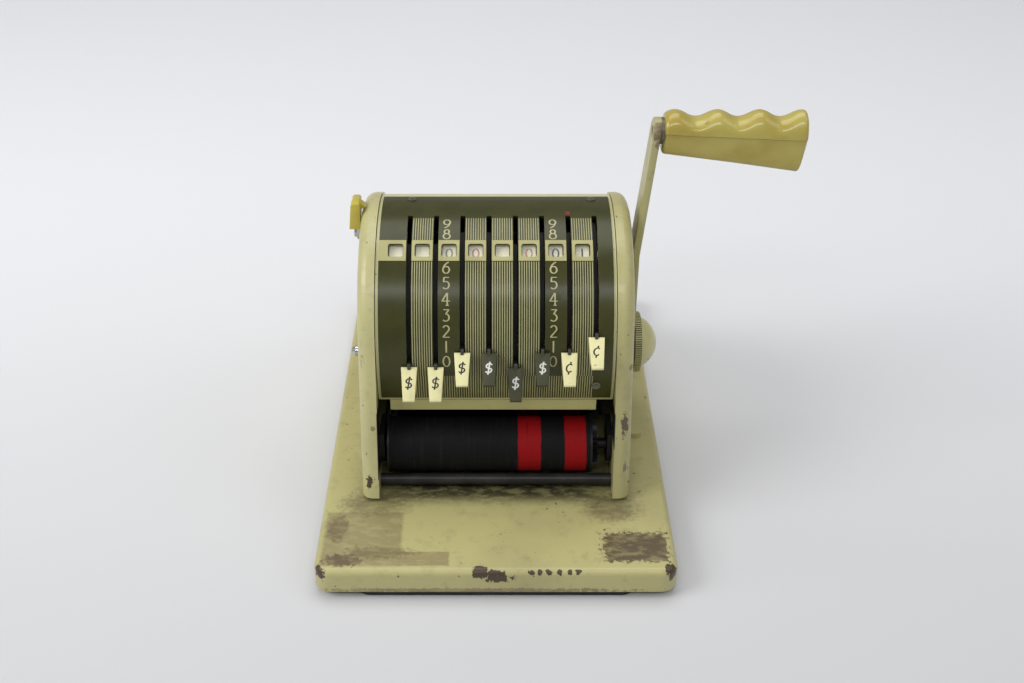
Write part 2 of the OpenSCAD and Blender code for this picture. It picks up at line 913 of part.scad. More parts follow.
module spool_bearings() {
    // dark plates inside the front legs that carry the supply spool
    color(black)
    for (s = [-1, 1])
        at_side(s > 0 ? in_x - seat : -in_x + bearing_t + seat, supply_y, supply_z)
            linear_extrude(bearing_t)
                difference() {
                    union() {
                        circle(bearing_r);
                        translate([-bearing_r, 0])
                            square([2 * bearing_r, bearing_rise]);
                    }
                    circle(spool_axle_r + run_gap);
                }
    // collars that go into the castings
    color(black)
    for (s = [-1, 1])
        difference() {
            rod_x(s > 0 ? in_x - 1 : -in_x - rod_seat, s > 0 ? in_x + rod_seat : -in_x + 1,
                  supply_y, supply_z, spool_axle_r + collar_wall - seat);
            rod_x(-out_x, out_x, supply_y, supply_z, spool_axle_r + run_gap);
        }
}

// ---------- handle --------------------------------------------------

module handle_shaft() {
    color(steel)
    rod_x(-out_x - bush_out - 0.6, ring_x0 + ring_t / 2, handle_y, handle_z, handle_shaft_r);
}

// Points of one flank of an involute tooth from the base circle outward.
function involute(rb, t) = [rb * (cos(t) + t * PI / 180 * sin(t)),
                            rb * (sin(t) - t * PI / 180 * cos(t))];
function spin(p, a) = [p[0] * cos(a) - p[1] * sin(a), p[0] * sin(a) + p[1] * cos(a)];

module pinion_2d() {
    rb = pitch_r * cos(press_a);
    tip = pitch_r + tooth_m;
    root = pitch_r - 1.25 * tooth_m;
    t_tip = sqrt(pow(tip / rb, 2) - 1) * 180 / PI;
    inv = tan(press_a) * 180 / PI - press_a;
    half = 90 / pinion_n - backlash / 2 / pitch_r * 180 / PI + inv;
    last = 5;
    flank = [for (k = [0 : last]) involute(rb, t_tip * k / last)];
    // a tooth centred on the local x axis
    low = [for (k = [0 : last]) spin(flank[k], -half)];
    high = [for (k = [last : -1 : 0]) spin([flank[k][0], -flank[k][1]], half)];
    root_half = half * 0.98;
    polygon([for (i = [0 : pinion_n - 1])
        for (p = concat([on_circle(root, -root_half)], low, high,
                        [on_circle(root, root_half)]))
            spin(p, i * 360 / pinion_n)]);
}

module lift_pinions() {
    color(steel)
    for (x = [-gear_x0, gear_x1])
        at_side(x, handle_y, handle_z)
            linear_extrude(gear_t)
                difference() {
                    pinion_2d();
                    circle(handle_shaft_r + seat);
                }
}

module handle_arm() {
    foot_r = arm_w / 2 + 3;
    head_r = arm_w / 2;
    rise = arm_len + head_r - arm_bend_h;
    end_x = rise * tan(arm_lean);
    inner_shift = arm_t * (1 / cos(arm_lean) - 1);
    color(enamel)
    difference() {
        intersection() {
            // bent strip seen from the front
            translate([arm_x0, handle_y + foot_r, handle_z])
                rotate([90, 0, 0])
                    linear_extrude(2 * foot_r)
                        polygon([
                            [0, -foot_r], [arm_t, -foot_r], [arm_t, arm_bend_h],
                            [arm_t + end_x, arm_len + head_r],
                            [end_x - inner_shift, arm_len + head_r], [0, arm_bend_h + 0.2]
                        ]);
            // outline seen from the side
            at_side(arm_out + 2 * arm_t, handle_y, handle_z)
                linear_extrude(arm_out - out_x + 3 * arm_t) {
                    circle(foot_r);
                    translate([0, arm_len])
                        circle(head_r);
                    polygon([[-foot_r + 1, 0], [foot_r - 1, 0],
                             [head_r, arm_len], [-head_r, arm_len]]);
                }
        }
        rod_x(arm_x0 - cut, ring_x0 + cut, handle_y, handle_z, handle_shaft_r + seat);
        translate([arm_out - arm_t / 2, handle_y, grip_z])
            rotate([0, 90 + arm_lean, 0])
                cylinder(h = 4 * arm_t, r = grip_bolt_r + seat, center = true);
    }
}

module hub_ring() {
    bevel = 0.5;
    color(enamel)
    difference() {
        union() {
            at_side(ring_x0 + ring_t - bevel, handle_y, handle_z)
                linear_extrude(ring_t - 2 * bevel)
                    polygon([for (k = [0 : 2 * knurls - 1])
                        on_circle(ring_r - (k % 2) * knurl_depth, k * 180 / knurls)]);
            rod_x(ring_x0, ring_x0 + ring_t, handle_y, handle_z, ring_r - bevel - knurl_depth);
        }
        rod_x(ring_x0 - cut, ring_x0 + ring_t / 2 + seat, handle_y, handle_z,
              handle_shaft_r + seat);
    }
}

module hub_cap() {
    dome_r = (cap_r * cap_r + cap_h * cap_h) / (2 * cap_h);
    color(cream)
    translate([ring_x0 + ring_t + seat, handle_y, handle_z])
        rotate([0, 90, 0])
            rotate_extrude()
                intersection() {
                    translate([0, cap_h - dome_r])
                        circle(dome_r);
                    square([cap_r, cap_h + cut]);
                }
}

// The grip's section at distance x along it: finger hollows on top, a parting
// line at half height and straight sides that draw in below it.
grip_crest = 10.6;
grip_first = 4.5;                    // place of the first crest
grip_part = -0.5;                    // height of the parting line
grip_slant = 0.36;                   // outer end's slant below the parting line
function grip_top(x) = grip_crest - grip_scallop / 2
    + grip_scallop / 2 * cos((x - grip_first) / grip_pitch * 360);
function grip_low(x) = 10.5 + grip_drop * x / grip_len;
function grip_end(x) = x < 0.5 * grip_len
    ? 1 - 0.10 * pow(max(0, 1 - x / 2.5), 2)
    : 1 - 0.12 * pow(max(0, 1 - (grip_len - x) / 3), 2);
function grip_ring(x) =
    let (w = grip_w / 2, h = grip_top(x) - grip_part, d = grip_low(x), s = grip_end(x))
    concat(
        [for (a = [0 : 15 : 180]) [w * cos(a), grip_part + h * pow(sin(a), 0.85)]],
        [[-w * 0.80, -d + 1.8], [-w * 0.66, -d + 0.6], [-w * 0.40, -d],
         [w * 0.40, -d], [w * 0.66, -d + 0.6], [w * 0.80, -d + 1.8]]) * s;

module grip_body() {
    last = 34;
    first_step = 0.8;
    xs = [for (k = [0 : last])
        k == 0 ? 0 : k == last ? grip_len : k == 1 ? first_step
        : k == last - 1 ? grip_len - first_step : grip_len * k / last];
    m = len(grip_ring(0));
    pts = [for (x = xs, p = grip_ring(x))
        [x - max(0, 2 * x / grip_len - 1) * grip_slant * max(0, grip_part - p[1]),
         p[0], p[1]]];
    sides = [for (k = [0 : last - 1], j = [0 : m - 1])
        [k * m + j, k * m + (j + 1) % m, (k + 1) * m + (j + 1) % m, (k + 1) * m + j]];
    tris = [for (q = sides) each [[q[0], q[1], q[2]], [q[0], q[2], q[3]]]];
    caps = [[for (j = [m - 1 : -1 : 0]) j], [for (j = [0 : m - 1]) last * m + j]];
    polyhedron(points = pts, faces = concat(tris, caps), convexity = 6);
}

grip_bolt_len = 24;

module grip() {
    color(yellow)
    difference() {
        translate([grip_x0, handle_y, grip_z])
            grip_body();
        rod_x(grip_x0 - cut, grip_x0 + grip_bolt_len, handle_y, grip_z, grip_bolt_r + seat);
    }
}

// Bolt and washer that hold the grip to the arm.
module grip_collar() {
    color("#4a463a") {
        rod_x(arm_out + 1.6, grip_x0 - seat, handle_y, grip_z, grip_washer_r);
        rod_x(arm_out - 1, grip_x0 + grip_bolt_len - 2, handle_y, grip_z, grip_bolt_r - 0.2);
    }
}

// ---------- platen --------------------------------------------------

module rack_2d(z0, z1) {
    // x is back, y is up; teeth point forward from the pitch line
    p = PI * tooth_m;
    k0 = ceil((z0 - handle_z) / p);
    k1 = floor((z1 - handle_z) / p) - 1;
    half = p / 4 - backlash / 2;
    in_u = 1.25 * tooth_m;
    out_u = -tooth_m;
    slope = tan(press_a);
    teeth = [for (k = [k0 : k1])
        let (c = handle_z + (k + 0.5) * p)
        each [[in_u, c - half - slope * in_u], [out_u, c - half - slope * out_u],
              [out_u, c + half + slope * out_u], [in_u, c + half + slope * in_u]]];
    polygon(concat(teeth, [[in_u, z1], [rack_back + tooth_m, z1],
                           [rack_back + tooth_m, carriage_z], [in_u, carriage_z]]));
}

module platen_carriage() {
    bar_h = platen_top - pad_h - seat - carriage_z;
    color(steel)
    for (x = [-gear_x1, gear_x0])
        translate([x, 0, 0]) {
            translate([0, rack_y, 0])
                rotate([90, 0, 90])
                    linear_extrude(gear_t)
                        rack_2d(handle_z - lift - 2.2 * tooth_m, handle_z + 4.5 * tooth_m);
            // link from the bar back to the rack
            translate([0, ax_y - platen_w / 2, carriage_z])
                cube([gear_t, rack_end_y - ax_y + platen_w / 2, bar_h]);
        }
    color(steel)
    translate([-gear_x1, ax_y - platen_w / 2, carriage_z])
        cube([2 * gear_x1, platen_w, bar_h]);
}

module platen_pad() {
    color(grey_rubber)
    translate([-platen_x, ax_y - platen_w / 2, platen_top - pad_h])
        cube([2 * platen_x, platen_w, pad_h]);
}

module return_spring() {
    // torsion spring round the handle shaft
    wire = 0.55;
    coil_r = handle_shaft_r + 0.45 + wire;
    turns = 5;
    rings = 10;
    sides = 6;
    lead = 2 * wire + 0.35;
    x0 = -gear_x0 + 1.5;
    leg = 12;
    function ring_pts(c, a) = [for (j = [0 : sides - 1])
        let (b = j * 360 / sides)
        c + wire * [sin(b), cos(b) * cos(a), cos(b) * sin(a)]];
    coil = [for (k = [0 : turns * rings])
        let (a = k * 360 / rings)
        ring_pts([x0 + lead * k / rings, coil_r * cos(a), coil_r * sin(a)], a)];
    // straight legs at both ends, pointing down
    first = ring_pts([x0, coil_r, -leg], 0);
    last = ring_pts([x0 + lead * turns, coil_r, leg], 0);
    all = concat([first], coil, [last]);
    m = len(all);
    pts = [for (r = all, p = r) [p[0], handle_y + p[1], handle_z + p[2]]];
    tris = [for (k = [0 : m - 2], j = [0 : sides - 1])
        let (a = k * sides + j, b = k * sides + (j + 1) % sides,
             c = (k + 1) * sides + (j + 1) % sides, d = (k + 1) * sides + j)
        each [[a, c, b], [a, d, c]]];
    caps = [[for (j = [0 : sides - 1]) j],
            [for (j = [sides - 1 : -1 : 0]) (m - 1) * sides + j]];
    color(steel)
    polyhedron(points = pts, faces = concat(tris, caps), convexity = 10);
}

// ---------- sectors and tabs ---------------------------------------

module sector(i) {
    rest = figure_at_rest[i] * step_a;
    type_a0 = -90 - steps * step_a - 3;
    strip_a0 = window_a - steps * step_a - strip_margin;
    strip_a1 = window_a + strip_margin;
    color("#75777a")
    difference() {
        union() {
            // plate with its outer tongues
            at_axis(slot_x(i) + sector_t / 2)
                rotate([0, 0, rest]) {
                    cylinder(h = sector_t, r = rim_r);
                    band(rim_r - 1, strip_r + strip_t, strip_a0, strip_a1, sector_t);
                    band(rim_r - 1, type_r - carrier_drop, type_a0, -90 - step_a + 3,
                         sector_t);
                    // figure strip beside the plate
                    band(strip_r, strip_r + strip_t, strip_a0, strip_a1,
                         sector_t / 2 + window_off + strip_w / 2);
                }
            // lever stem through the slot
            at_axis(slot_x(i) + stem_t / 2)
                rotate([0, 0, rest + blank_a])
                    stem(0);
            // type blocks, one for each figure
            at_axis(slot_x(i) + type_w / 2)
                rotate([0, 0, rest])
                    for (k = [1 : steps])
                        rotate([0, 0, -90 - k * step_a])
                            intersection() {
                                translate([type_r - type_h, -type_len / 2, 0])
                                    cube([type_h, type_len, type_w]);
                                cylinder(h = type_w, r = type_r);
                            }
            at_axis(slot_x(i) + pitch / 2 - hub_gap / 2)
                cylinder(h = pitch - hub_gap, r = hub_r);
        }
        rod_x(slot_x(i) - pitch, slot_x(i) + pitch, ax_y, ax_z,
              sector_shaft_r + run_gap);
        at_axis(slot_x(i) + sector_t)
            rotate([0, 0, rest]) {
                // arc slot that clears the handle shaft over the whole travel
                a1 = shaft_place_a + arc_half_a;
                a0 = shaft_place_a - steps * step_a - arc_half_a;
                band(sector_hole_r - arc_gap, sector_hole_r + arc_gap, a0, a1,
                     2 * sector_t);
                for (a = [a0, a1])
                    rotate([0, 0, a])
                        translate([sector_hole_r, 0, 0])
                            cylinder(h = 2 * sector_t, r = arc_gap - 0.5);
                // lightening slot
                band(sector_hole_r - arc_gap, sector_hole_r + 8, 30, 140, 2 * sector_t);
                // detent notches
                for (k = [0 : steps])
                    rotate([0, 0, detent_tip_a - k * step_a])
                        translate([rim_r - 1.6, 0, -cut])
                            linear_extrude(3 * sector_t + cut)
                                polygon([[0, 0], [2.2, -1.7], [2.2, 1.7]]);
            }
    }
}

// Lever stem with its foot, drawn with x outward; grow enlarges it all round.
module stem(grow) {
    foot_t = 1.4;
    translate([rim_r - 2, stem_y0 - grow, -grow])
        cube([stem_r - rim_r + 2 + grow, stem_w + 2 * grow, stem_t + 2 * grow]);
    translate([stem_r - foot_t - grow, stem_y0 - stem_foot - grow, -grow])
        cube([foot_t + 2 * grow, stem_foot + stem_w / 2, stem_t + 2 * grow]);
}

module tab(i) {
    c = cos(tab_tilt);
    s = sin(tab_tilt);
    half = tab_len / 2;
    top = [tab_r - half * s, half * c];
    low = [tab_r + half * s, -half * c];
    lip = 0.9;
    back_r = face_r + frame_t + 0.4;
    // side profile: first coordinate outward, second up along the face
    module profile() {
        polygon(concat(
            [top],
            [for (a = [tab_tilt : -24 : -90]) low + lip * [cos(a) - c, sin(a) - s]],
            [[tab_r - 1, -half * c - 0.6], [back_r, -2.5], [back_r, half * c]]));
    }
    color(tab_dark[i] ? olive : cream)
    difference() {
        intersection() {
            at_axis(slot_x(i) + tab_w0 / 2)
                rotate([0, 0, lever_a(i)])
                    linear_extrude(tab_w0)
                        profile();
            // sides drawn in towards the bottom
            at_axis(slot_x(i))
                rotate([0, 0, lever_a(i)])
                    translate([tab_r, 0, 0])
                        rotate([0, 0, tab_tilt])
                            rotate([90, 0, 90])
                                translate([0, 0, -20])
                                    linear_extrude(30)
                                        polygon([
                                            [half + 3, -tab_w0 / 2],
                                            [half, -tab_w0 / 2],
                                            [-half - 2, -tab_w1 / 2],
                                            [-half - 2, tab_w1 / 2],
                                            [half, tab_w0 / 2],
                                            [half + 3, tab_w0 / 2]
                                        ]);
        }
        // socket for the stem and its foot
        at_axis(slot_x(i) + stem_t / 2)
            rotate([0, 0, lever_a(i)])
                stem(seat);
    }
}

module sector_1() { sector(0); }
module sector_2() { sector(1); }
module sector_3() { sector(2); }
module sector_4() { sector(3); }
module sector_5() { sector(4); }
module sector_6() { sector(5); }
module sector_7() { sector(6); }
module sector_8() { sector(7); }
module tab_1() { tab(0); }
module tab_2() { tab(1); }
module tab_3() { tab(2); }
module tab_4() { tab(3); }
module tab_5() { tab(4); }
module tab_6() { tab(5); }
module tab_7() { tab(6); }
module tab_8() { tab(7); }

// ---------- release lever on the left ------------------------------

// Post of the release lever, and the round-nosed stud lower on the casting.
module lever_post() {
    nose = 1.5;
    washer_x = -out_x - release_t - 1;
    color(steel) {
        rod_x(washer_x, -out_x + rod_seat, release_y, release_z, lever_post_r);
        rod_x(washer_x - 1.2, washer_x, release_y, release_z, lever_post_r + 1);
        rod_x(-stud_end + nose, -out_x + rod_seat, stud_y, stud_z, stud_r);
        translate([-stud_end + nose, stud_y, stud_z])
            rotate([0, -90, 0])
                cylinder(h = nose, r1 = stud_r, r2 = stud_r - 1);
    }
}

module release_lever() {
    color(steel)
    at_side(release_x, release_y, release_z)
        linear_extrude(release_t)
            difference() {
                union() {
                    circle(release_w / 2);
                    translate([-release_w / 2, 0])
                        square([release_w, release_len]);
                }
                circle(lever_post_r + run_gap);
            }
}

module release_tab() {
    h = 13.5;                            // height, depth and widths of the tab
    d = 11;
    w_low = 5.6;
    w_top = 4.1;
    z0 = release_z + 3.9;
    x1 = -out_x - 0.35;
    color(yellow)
    difference() {
        union() {
            // tapering body seen from the front
            translate([0, release_y + d / 2, z0])
                rotate([90, 0, 0])
                    linear_extrude(d)
                        polygon([[x1, 0], [x1 - w_low, 0], [x1 - w_top - 0.3, h - 1],
                                 [x1 - w_top + 0.7, h], [x1 - 0.6, h], [x1, h - 0.8]]);
            // fin over the casting's shoulder
            translate([0, release_y + 2, z0])
                rotate([90, 0, 0])
                    linear_extrude(4)
                        polygon([[x1 - 0.5, h - 0.3], [x1 + 2.8, h - 2.8],
                                 [x1 + 2.3, h - 3.6], [x1 - 0.5, h - 4.4]]);
        }
        at_side(release_x + seat, release_y, release_z)
            linear_extrude(release_t + 2 * seat)
                translate([-release_w / 2 - seat, 0])
                    square([release_w + 2 * seat, release_len + seat]);
    }
}

// ---------- screws and side gauge -----------------------------------

module case_screws() {
    color(steel)
    for (s = [-1, 1], y = case_screw_y)
        translate([s * case_screw_x, y, top_z - base_wall - case_head_h])
            mirror([0, 0, 1])
                screw(case_screw_r, case_screw_len + base_wall - 1, 2 * case_screw_r,
                      case_head_h);
}

module side_gauge() {
    gauge_w = 10.6;
    gauge_len = 90;
    gauge_h = 2.8;
    corner = 3;
    color(enamel)
    translate([out_x + side_gap, ax_y - 24.5, top_z + seat])
        linear_extrude(gauge_h) {
            translate([0, corner])
                square([gauge_w, gauge_len - corner]);
            square([gauge_w - corner, corner]);
            translate([gauge_w - corner, corner])
                circle(corner);
        }
}

base();
bottom_plate();
base_pad();
plate_screws();
left_casting();
right_casting();
cover();
rear_panel();
face_plate();
window_frames();
window_lenses();
front_bar();
guide_rod();
sector_shaft();
shaft_spacers();
detent_bar();
detent_springs();
tie_rod();
check_stop();
rack_guides();
shaft_bushes();
spool_bearings();
side_gauge();
face_screws();
case_screws();
ribbon_run();
return_spring();
lever_post();
handle_shaft();
lift_pinions();
handle_arm();
hub_ring();
hub_cap();
grip();
grip_collar();
platen_carriage();
platen_pad();
sector_1();
sector_2();
sector_3();
sector_4();
sector_5();
sector_6();
sector_7();
sector_8();
tab_1();
tab_2();
tab_3();
tab_4();
tab_5();
tab_6();
tab_7();
tab_8();
supply_spool();
supply_ribbon();
ratchet_wheel();
takeup_spool();
takeup_ribbon();
release_lever();
release_tab();
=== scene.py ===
"""Looks of a desk check writer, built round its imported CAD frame.

Each sub-assembly is a class that keeps its sizes and builds or dresses its own
pieces, each finish is a frozen dataclass, and main() runs them in order. All
lengths are metres in the frame of the CAD: the handle's side is +X, the slotted
face looks along -Y and the machine stands on z = 0.
"""

import json
import logging
import math
from dataclasses import dataclass, field
from enum import Enum
from typing import Any, Callable, Iterable, Sequence

import bmesh
import bpy
from mathutils import Matrix, Vector

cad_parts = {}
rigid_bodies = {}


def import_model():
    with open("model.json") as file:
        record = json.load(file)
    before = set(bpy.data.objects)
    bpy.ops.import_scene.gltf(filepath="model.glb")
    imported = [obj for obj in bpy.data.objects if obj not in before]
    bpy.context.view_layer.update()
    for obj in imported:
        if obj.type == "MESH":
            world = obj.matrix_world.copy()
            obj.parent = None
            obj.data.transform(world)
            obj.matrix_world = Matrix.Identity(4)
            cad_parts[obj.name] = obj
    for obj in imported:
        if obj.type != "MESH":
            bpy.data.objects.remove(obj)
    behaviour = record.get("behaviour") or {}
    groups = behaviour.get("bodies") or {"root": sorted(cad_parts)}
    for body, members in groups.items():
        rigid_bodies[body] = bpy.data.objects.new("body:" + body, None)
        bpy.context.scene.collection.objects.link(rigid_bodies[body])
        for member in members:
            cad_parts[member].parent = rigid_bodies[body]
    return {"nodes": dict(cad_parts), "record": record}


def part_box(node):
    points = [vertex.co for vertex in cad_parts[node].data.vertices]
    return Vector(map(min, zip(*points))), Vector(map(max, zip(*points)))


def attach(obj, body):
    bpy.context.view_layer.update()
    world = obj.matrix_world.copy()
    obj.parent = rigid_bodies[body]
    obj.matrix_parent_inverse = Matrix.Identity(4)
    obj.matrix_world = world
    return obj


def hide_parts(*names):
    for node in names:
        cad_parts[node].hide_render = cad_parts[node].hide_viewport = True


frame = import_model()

LOG = logging.getLogger("check_writer")
MM = 0.001
FINISH_PREFIX = "finish_"

Color = tuple[float, float, float]
Triple = tuple[float, float, float]
Point = tuple[float, float]
Stroke = Sequence[tuple[float, float, float]]
Socket = bpy.types.NodeSocket
Place = Callable[[float, float, float], Vector]


# ---------- what the frame says ----------


def joint_row(name: str) -> dict[str, Any]:
    """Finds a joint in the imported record.

    Args:
        name: The joint's name.

    Returns:
        The joint's row of the record.
    """
    rows = frame["record"]["behaviour"]["joints"]
    return next(row for row in rows if row["name"] == name)


def corners(node: str) -> tuple[Vector, Vector]:
    """Gives a CAD node's box.

    Args:
        node: The node's name.

    Returns:
        The lowest and the highest corner, in metres.
    """
    low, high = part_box(node)
    return Vector(low), Vector(high)


FACE_AXIS = Vector(joint_row("lever_1_set")["pos_m"])
HANDLE_AXIS = Vector(joint_row("handle_swing")["pos_m"])
RING_RADIUS = (corners("hub_ring")[1].z - corners("hub_ring")[0].z) / 2
LEVERS = 8
STEP = math.radians(7.46)


def slot_x(lever: int) -> float:
    """Gives the place of a lever's slot across the face.

    Args:
        lever: Number of the lever, from 1.

    Returns:
        The slot's middle, in metres.
    """
    low, high = corners(f"tab_{lever}")
    return (low.x + high.x) / 2


def level_at_rest(lever: int) -> int:
    """Gives how many steps a lever stands above its lowest place at rest.

    Args:
        lever: Number of the lever, from 1.

    Returns:
        The number of steps.
    """
    lowest = joint_row(f"lever_{lever}_set")["range_deg"][0]
    return round(-math.radians(lowest) / STEP)


def round_axis(x: float, radius: float, angle: float, axis: Vector = FACE_AXIS) -> Vector:
    """Gives a point round an axis that lies along X.

    Args:
        x: Place along the axis.
        radius: Distance from the axis.
        angle: Angle in radians, 0 at the front and a quarter turn at the top.
        axis: A point of the axis.

    Returns:
        The point.
    """
    return Vector((x, axis.y - radius * math.cos(angle), axis.z + radius * math.sin(angle)))


# ---------- finishes ----------


class Board:
    """A material's node tree with short calls for the nodes that the finishes use."""

    def __init__(self, name: str) -> None:
        """Starts an empty material.

        Args:
            name: Name of the finish.
        """
        self.material = bpy.data.materials.new(FINISH_PREFIX + name)
        self.material.use_nodes = True
        self.tree = self.material.node_tree
        self.tree.nodes.clear()
        self._place: Socket | None = None

    def node(self, kind: str, **settings: Any) -> bpy.types.Node:
        """Adds a node.

        Args:
            kind: Blender's name of the node type.
            **settings: Properties to set on it.

        Returns:
            The node.
        """
        made = self.tree.nodes.new(kind)
        for key, value in settings.items():
            setattr(made, key, value)
        return made

    def feed(self, socket: Socket, value: Any) -> None:
        """Links a socket into an input, or sets the input's value.

        Args:
            socket: The input.
            value: An output socket or a plain value.
        """
        if isinstance(value, bpy.types.NodeSocket):
            self.tree.links.new(value, socket)
        else:
            socket.default_value = value

    def place(self) -> Socket:
        """Gives the object coordinates, made once."""
        if self._place is None:
            self._place = self.node("ShaderNodeTexCoord").outputs["Object"]
        return self._place

    def axes(self) -> tuple[Socket, Socket, Socket]:
        """Gives x, y and z of the object coordinates."""
        split = self.node("ShaderNodeSeparateXYZ")
        self.feed(split.inputs[0], self.place())
        return split.outputs[0], split.outputs[1], split.outputs[2]

    def math(self, work: str, a: Any, b: Any = 0.0) -> Socket:
        """Adds a math node.

        Args:
            work: The operation's name.
            a: First operand.
            b: Second operand.

        Returns:
            The result.
        """
        made = self.node("ShaderNodeMath", operation=work)
        self.feed(made.inputs[0], a)
        self.feed(made.inputs[1], b)
        return made.outputs[0]

    def vector(self, work: str, a: Any, b: Any) -> Socket:
        """Adds a vector math node.

        Args:
            work: The operation's name.
            a: First operand.
            b: Second operand.

        Returns:
            The resulting vector, or the number where the operation gives one.
        """
        made = self.node("ShaderNodeVectorMath", operation=work)
        self.feed(made.inputs[0], a)
        self.feed(made.inputs[1], b)
        return made.outputs[1 if work in ("LENGTH", "DISTANCE") else 0]

    def scaled(self, color: Color, share: Socket) -> Socket:
        """Scales a colour.

        Args:
            color: The colour.
            share: What it is multiplied by.

        Returns:
            The scaled colour.
        """
        made = self.node("ShaderNodeVectorMath", operation="SCALE")
        self.feed(made.inputs[0], color)
        self.feed(made.inputs[3], share)
        return made.outputs[0]

    def noise(
        self, scale: float, detail: float = 3.0, stretch: Triple = (1, 1, 1), rough: float = 0.55
    ) -> Socket:
        """Adds noise over the object coordinates.

        Args:
            scale: Scale of the noise, per metre.
            detail: Octaves.
            stretch: Factors on x, y and z.
            rough: How strong the finer octaves are.

        Returns:
            The noise, mostly from 0.3 to 0.7.
        """
        made = self.node("ShaderNodeTexNoise")
        self.feed(made.inputs["Vector"], self.vector("MULTIPLY", self.place(), stretch))
        self.feed(made.inputs["Scale"], scale)
        self.feed(made.inputs["Detail"], detail)
        self.feed(made.inputs["Roughness"], rough)
        return made.outputs[0]

    def ramp(self, value: Any, low: float, high: float, start: float = 0.0, end: float = 1.0) -> Socket:
        """Maps a range smoothly.

        Args:
            value: What is mapped.
            low: Value that gives start.
            high: Value that gives end.
            start: Result at low.
            end: Result at high.

        Returns:
            The mapped value.
        """
        made = self.node("ShaderNodeMapRange", interpolation_type="SMOOTHSTEP")
        for socket, given in zip(made.inputs, (value, low, high, start, end)):
            self.feed(socket, given)
        return made.outputs[0]

    def mix(self, share: Any, a: Any, b: Any) -> Socket:
        """Mixes two colours.

        Args:
            share: How much of b.
            a: First colour.
            b: Second colour.

        Returns:
            The mixed colour.
        """
        made = self.node("ShaderNodeMix", data_type="RGBA")
        self.feed(made.inputs[0], share)
        self.feed(made.inputs[6], (*a, 1.0) if isinstance(a, tuple) else a)
        self.feed(made.inputs[7], (*b, 1.0) if isinstance(b, tuple) else b)
        return made.outputs[2]

    def spot(self, spot: "Spot", rag: Socket) -> Socket:
        """Makes the mask of a ragged spot.

        Args:
            spot: The spot.
            rag: Noise that eats its edge.

        Returns:
            The mask, 1 inside.
        """
        centre = tuple(v * MM for v in spot.at)
        shrink = tuple(1.0 / (v * MM) for v in spot.size)
        scaled = self.vector("MULTIPLY", self.vector("SUBTRACT", self.place(), centre), shrink)
        if spot.square:
            split = self.node("ShaderNodeSeparateXYZ")
            self.feed(split.inputs[0], self.vector("ABSOLUTE", scaled, (0, 0, 0)))
            flat = self.math("MAXIMUM", split.outputs[0], split.outputs[1])
            reach = self.math("MAXIMUM", flat, split.outputs[2])
        else:
            reach = self.vector("LENGTH", scaled, (0, 0, 0))
        tear = self.math("MULTIPLY", self.math("SUBTRACT", rag, 0.5), spot.rag * 2)
        return self.ramp(self.math("ADD", reach, tear), 1.0 + spot.soft, 1.0 - spot.soft)

    def surface(
        self,
        color: Any,
        rough: Any,
        metal: float = 0.0,
        coat: float = 0.0,
        bump: Socket | None = None,
        height: float = 0.0002,
        shine: float = 0.5,
    ) -> bpy.types.Material:
        """Ends the tree with a principled surface.

        Args:
            color: Base colour.
            rough: Roughness.
            metal: Metallic share.
            coat: Weight of a clear coat.
            bump: Height for the bump, if any.
            height: Distance of the bump, in metres.
            shine: Specular level, 0.5 for plain plastic or paint.

        Returns:
            The finished material.
        """
        shader = self.node("ShaderNodeBsdfPrincipled")
        self.feed(shader.inputs["Base Color"], (*color, 1.0) if isinstance(color, tuple) else color)
        self.feed(shader.inputs["Roughness"], rough)
        shader.inputs["Metallic"].default_value = metal
        shader.inputs["Coat Weight"].default_value = coat
        shader.inputs["Coat Roughness"].default_value = 0.12
        shader.inputs["Specular IOR Level"].default_value = shine
        if bump is not None:
            made = self.node("ShaderNodeBump")
            made.inputs["Strength"].default_value = 0.6
            made.inputs["Distance"].default_value = height
            self.feed(made.inputs["Height"], bump)
            self.feed(shader.inputs["Normal"], made.outputs[0])
        out = self.node("ShaderNodeOutputMaterial")
        self.tree.links.new(shader.outputs[0], out.inputs[0])
        return self.material


@dataclass(frozen=True)
class Finish:
    """An even finish with a slight mottle.

    Attributes:
        name: Name of the material.
        color: Base colour, linear.
        rough: Roughness.
        metal: Metallic share.
        coat: Weight of a clear coat.
        mottle: How much the colour varies.
        shine: Specular level.
    """

    name: str
    color: Color
    rough: float = 0.5
    metal: float = 0.0
    coat: float = 0.0
    mottle: float = 0.12
    shine: float = 0.5

    def build(self) -> bpy.types.Material:
        """Builds the material, or gives it where it was built before."""
        known = bpy.data.materials.get(FINISH_PREFIX + self.name)
        return known if known is not None else self.make()

    def make(self) -> bpy.types.Material:
        """Makes the node tree.

        Returns:
            The material.
        """
        board = Board(self.name)
        cloud = board.noise(90.0)
        shade = board.ramp(cloud, 0.3, 0.7, 1.0 - self.mottle, 1.0 + self.mottle)
        tint = board.scaled(self.color, shade)
        return board.surface(tint, self.rough, self.metal, self.coat, shine=self.shine)


@dataclass(frozen=True)
class Spot:
    """A ragged spot of wear, stain or painted shade, in millimetres of the machine's frame.

    Attributes:
        at: Its middle.
        size: Its half sizes.
        color: What shows in it.
        strength: How much of the enamel it covers.
        rag: Strength of its ragged edge.
        square: Whether it is a box instead of an oval.
        soft: Width of its edge's fade, of the half size.
    """

    at: Triple
    size: Triple
    color: Color = (0.058, 0.036, 0.014)
    strength: float = 1.0
    rag: float = 1.2
    square: bool = False
    soft: float = 0.06


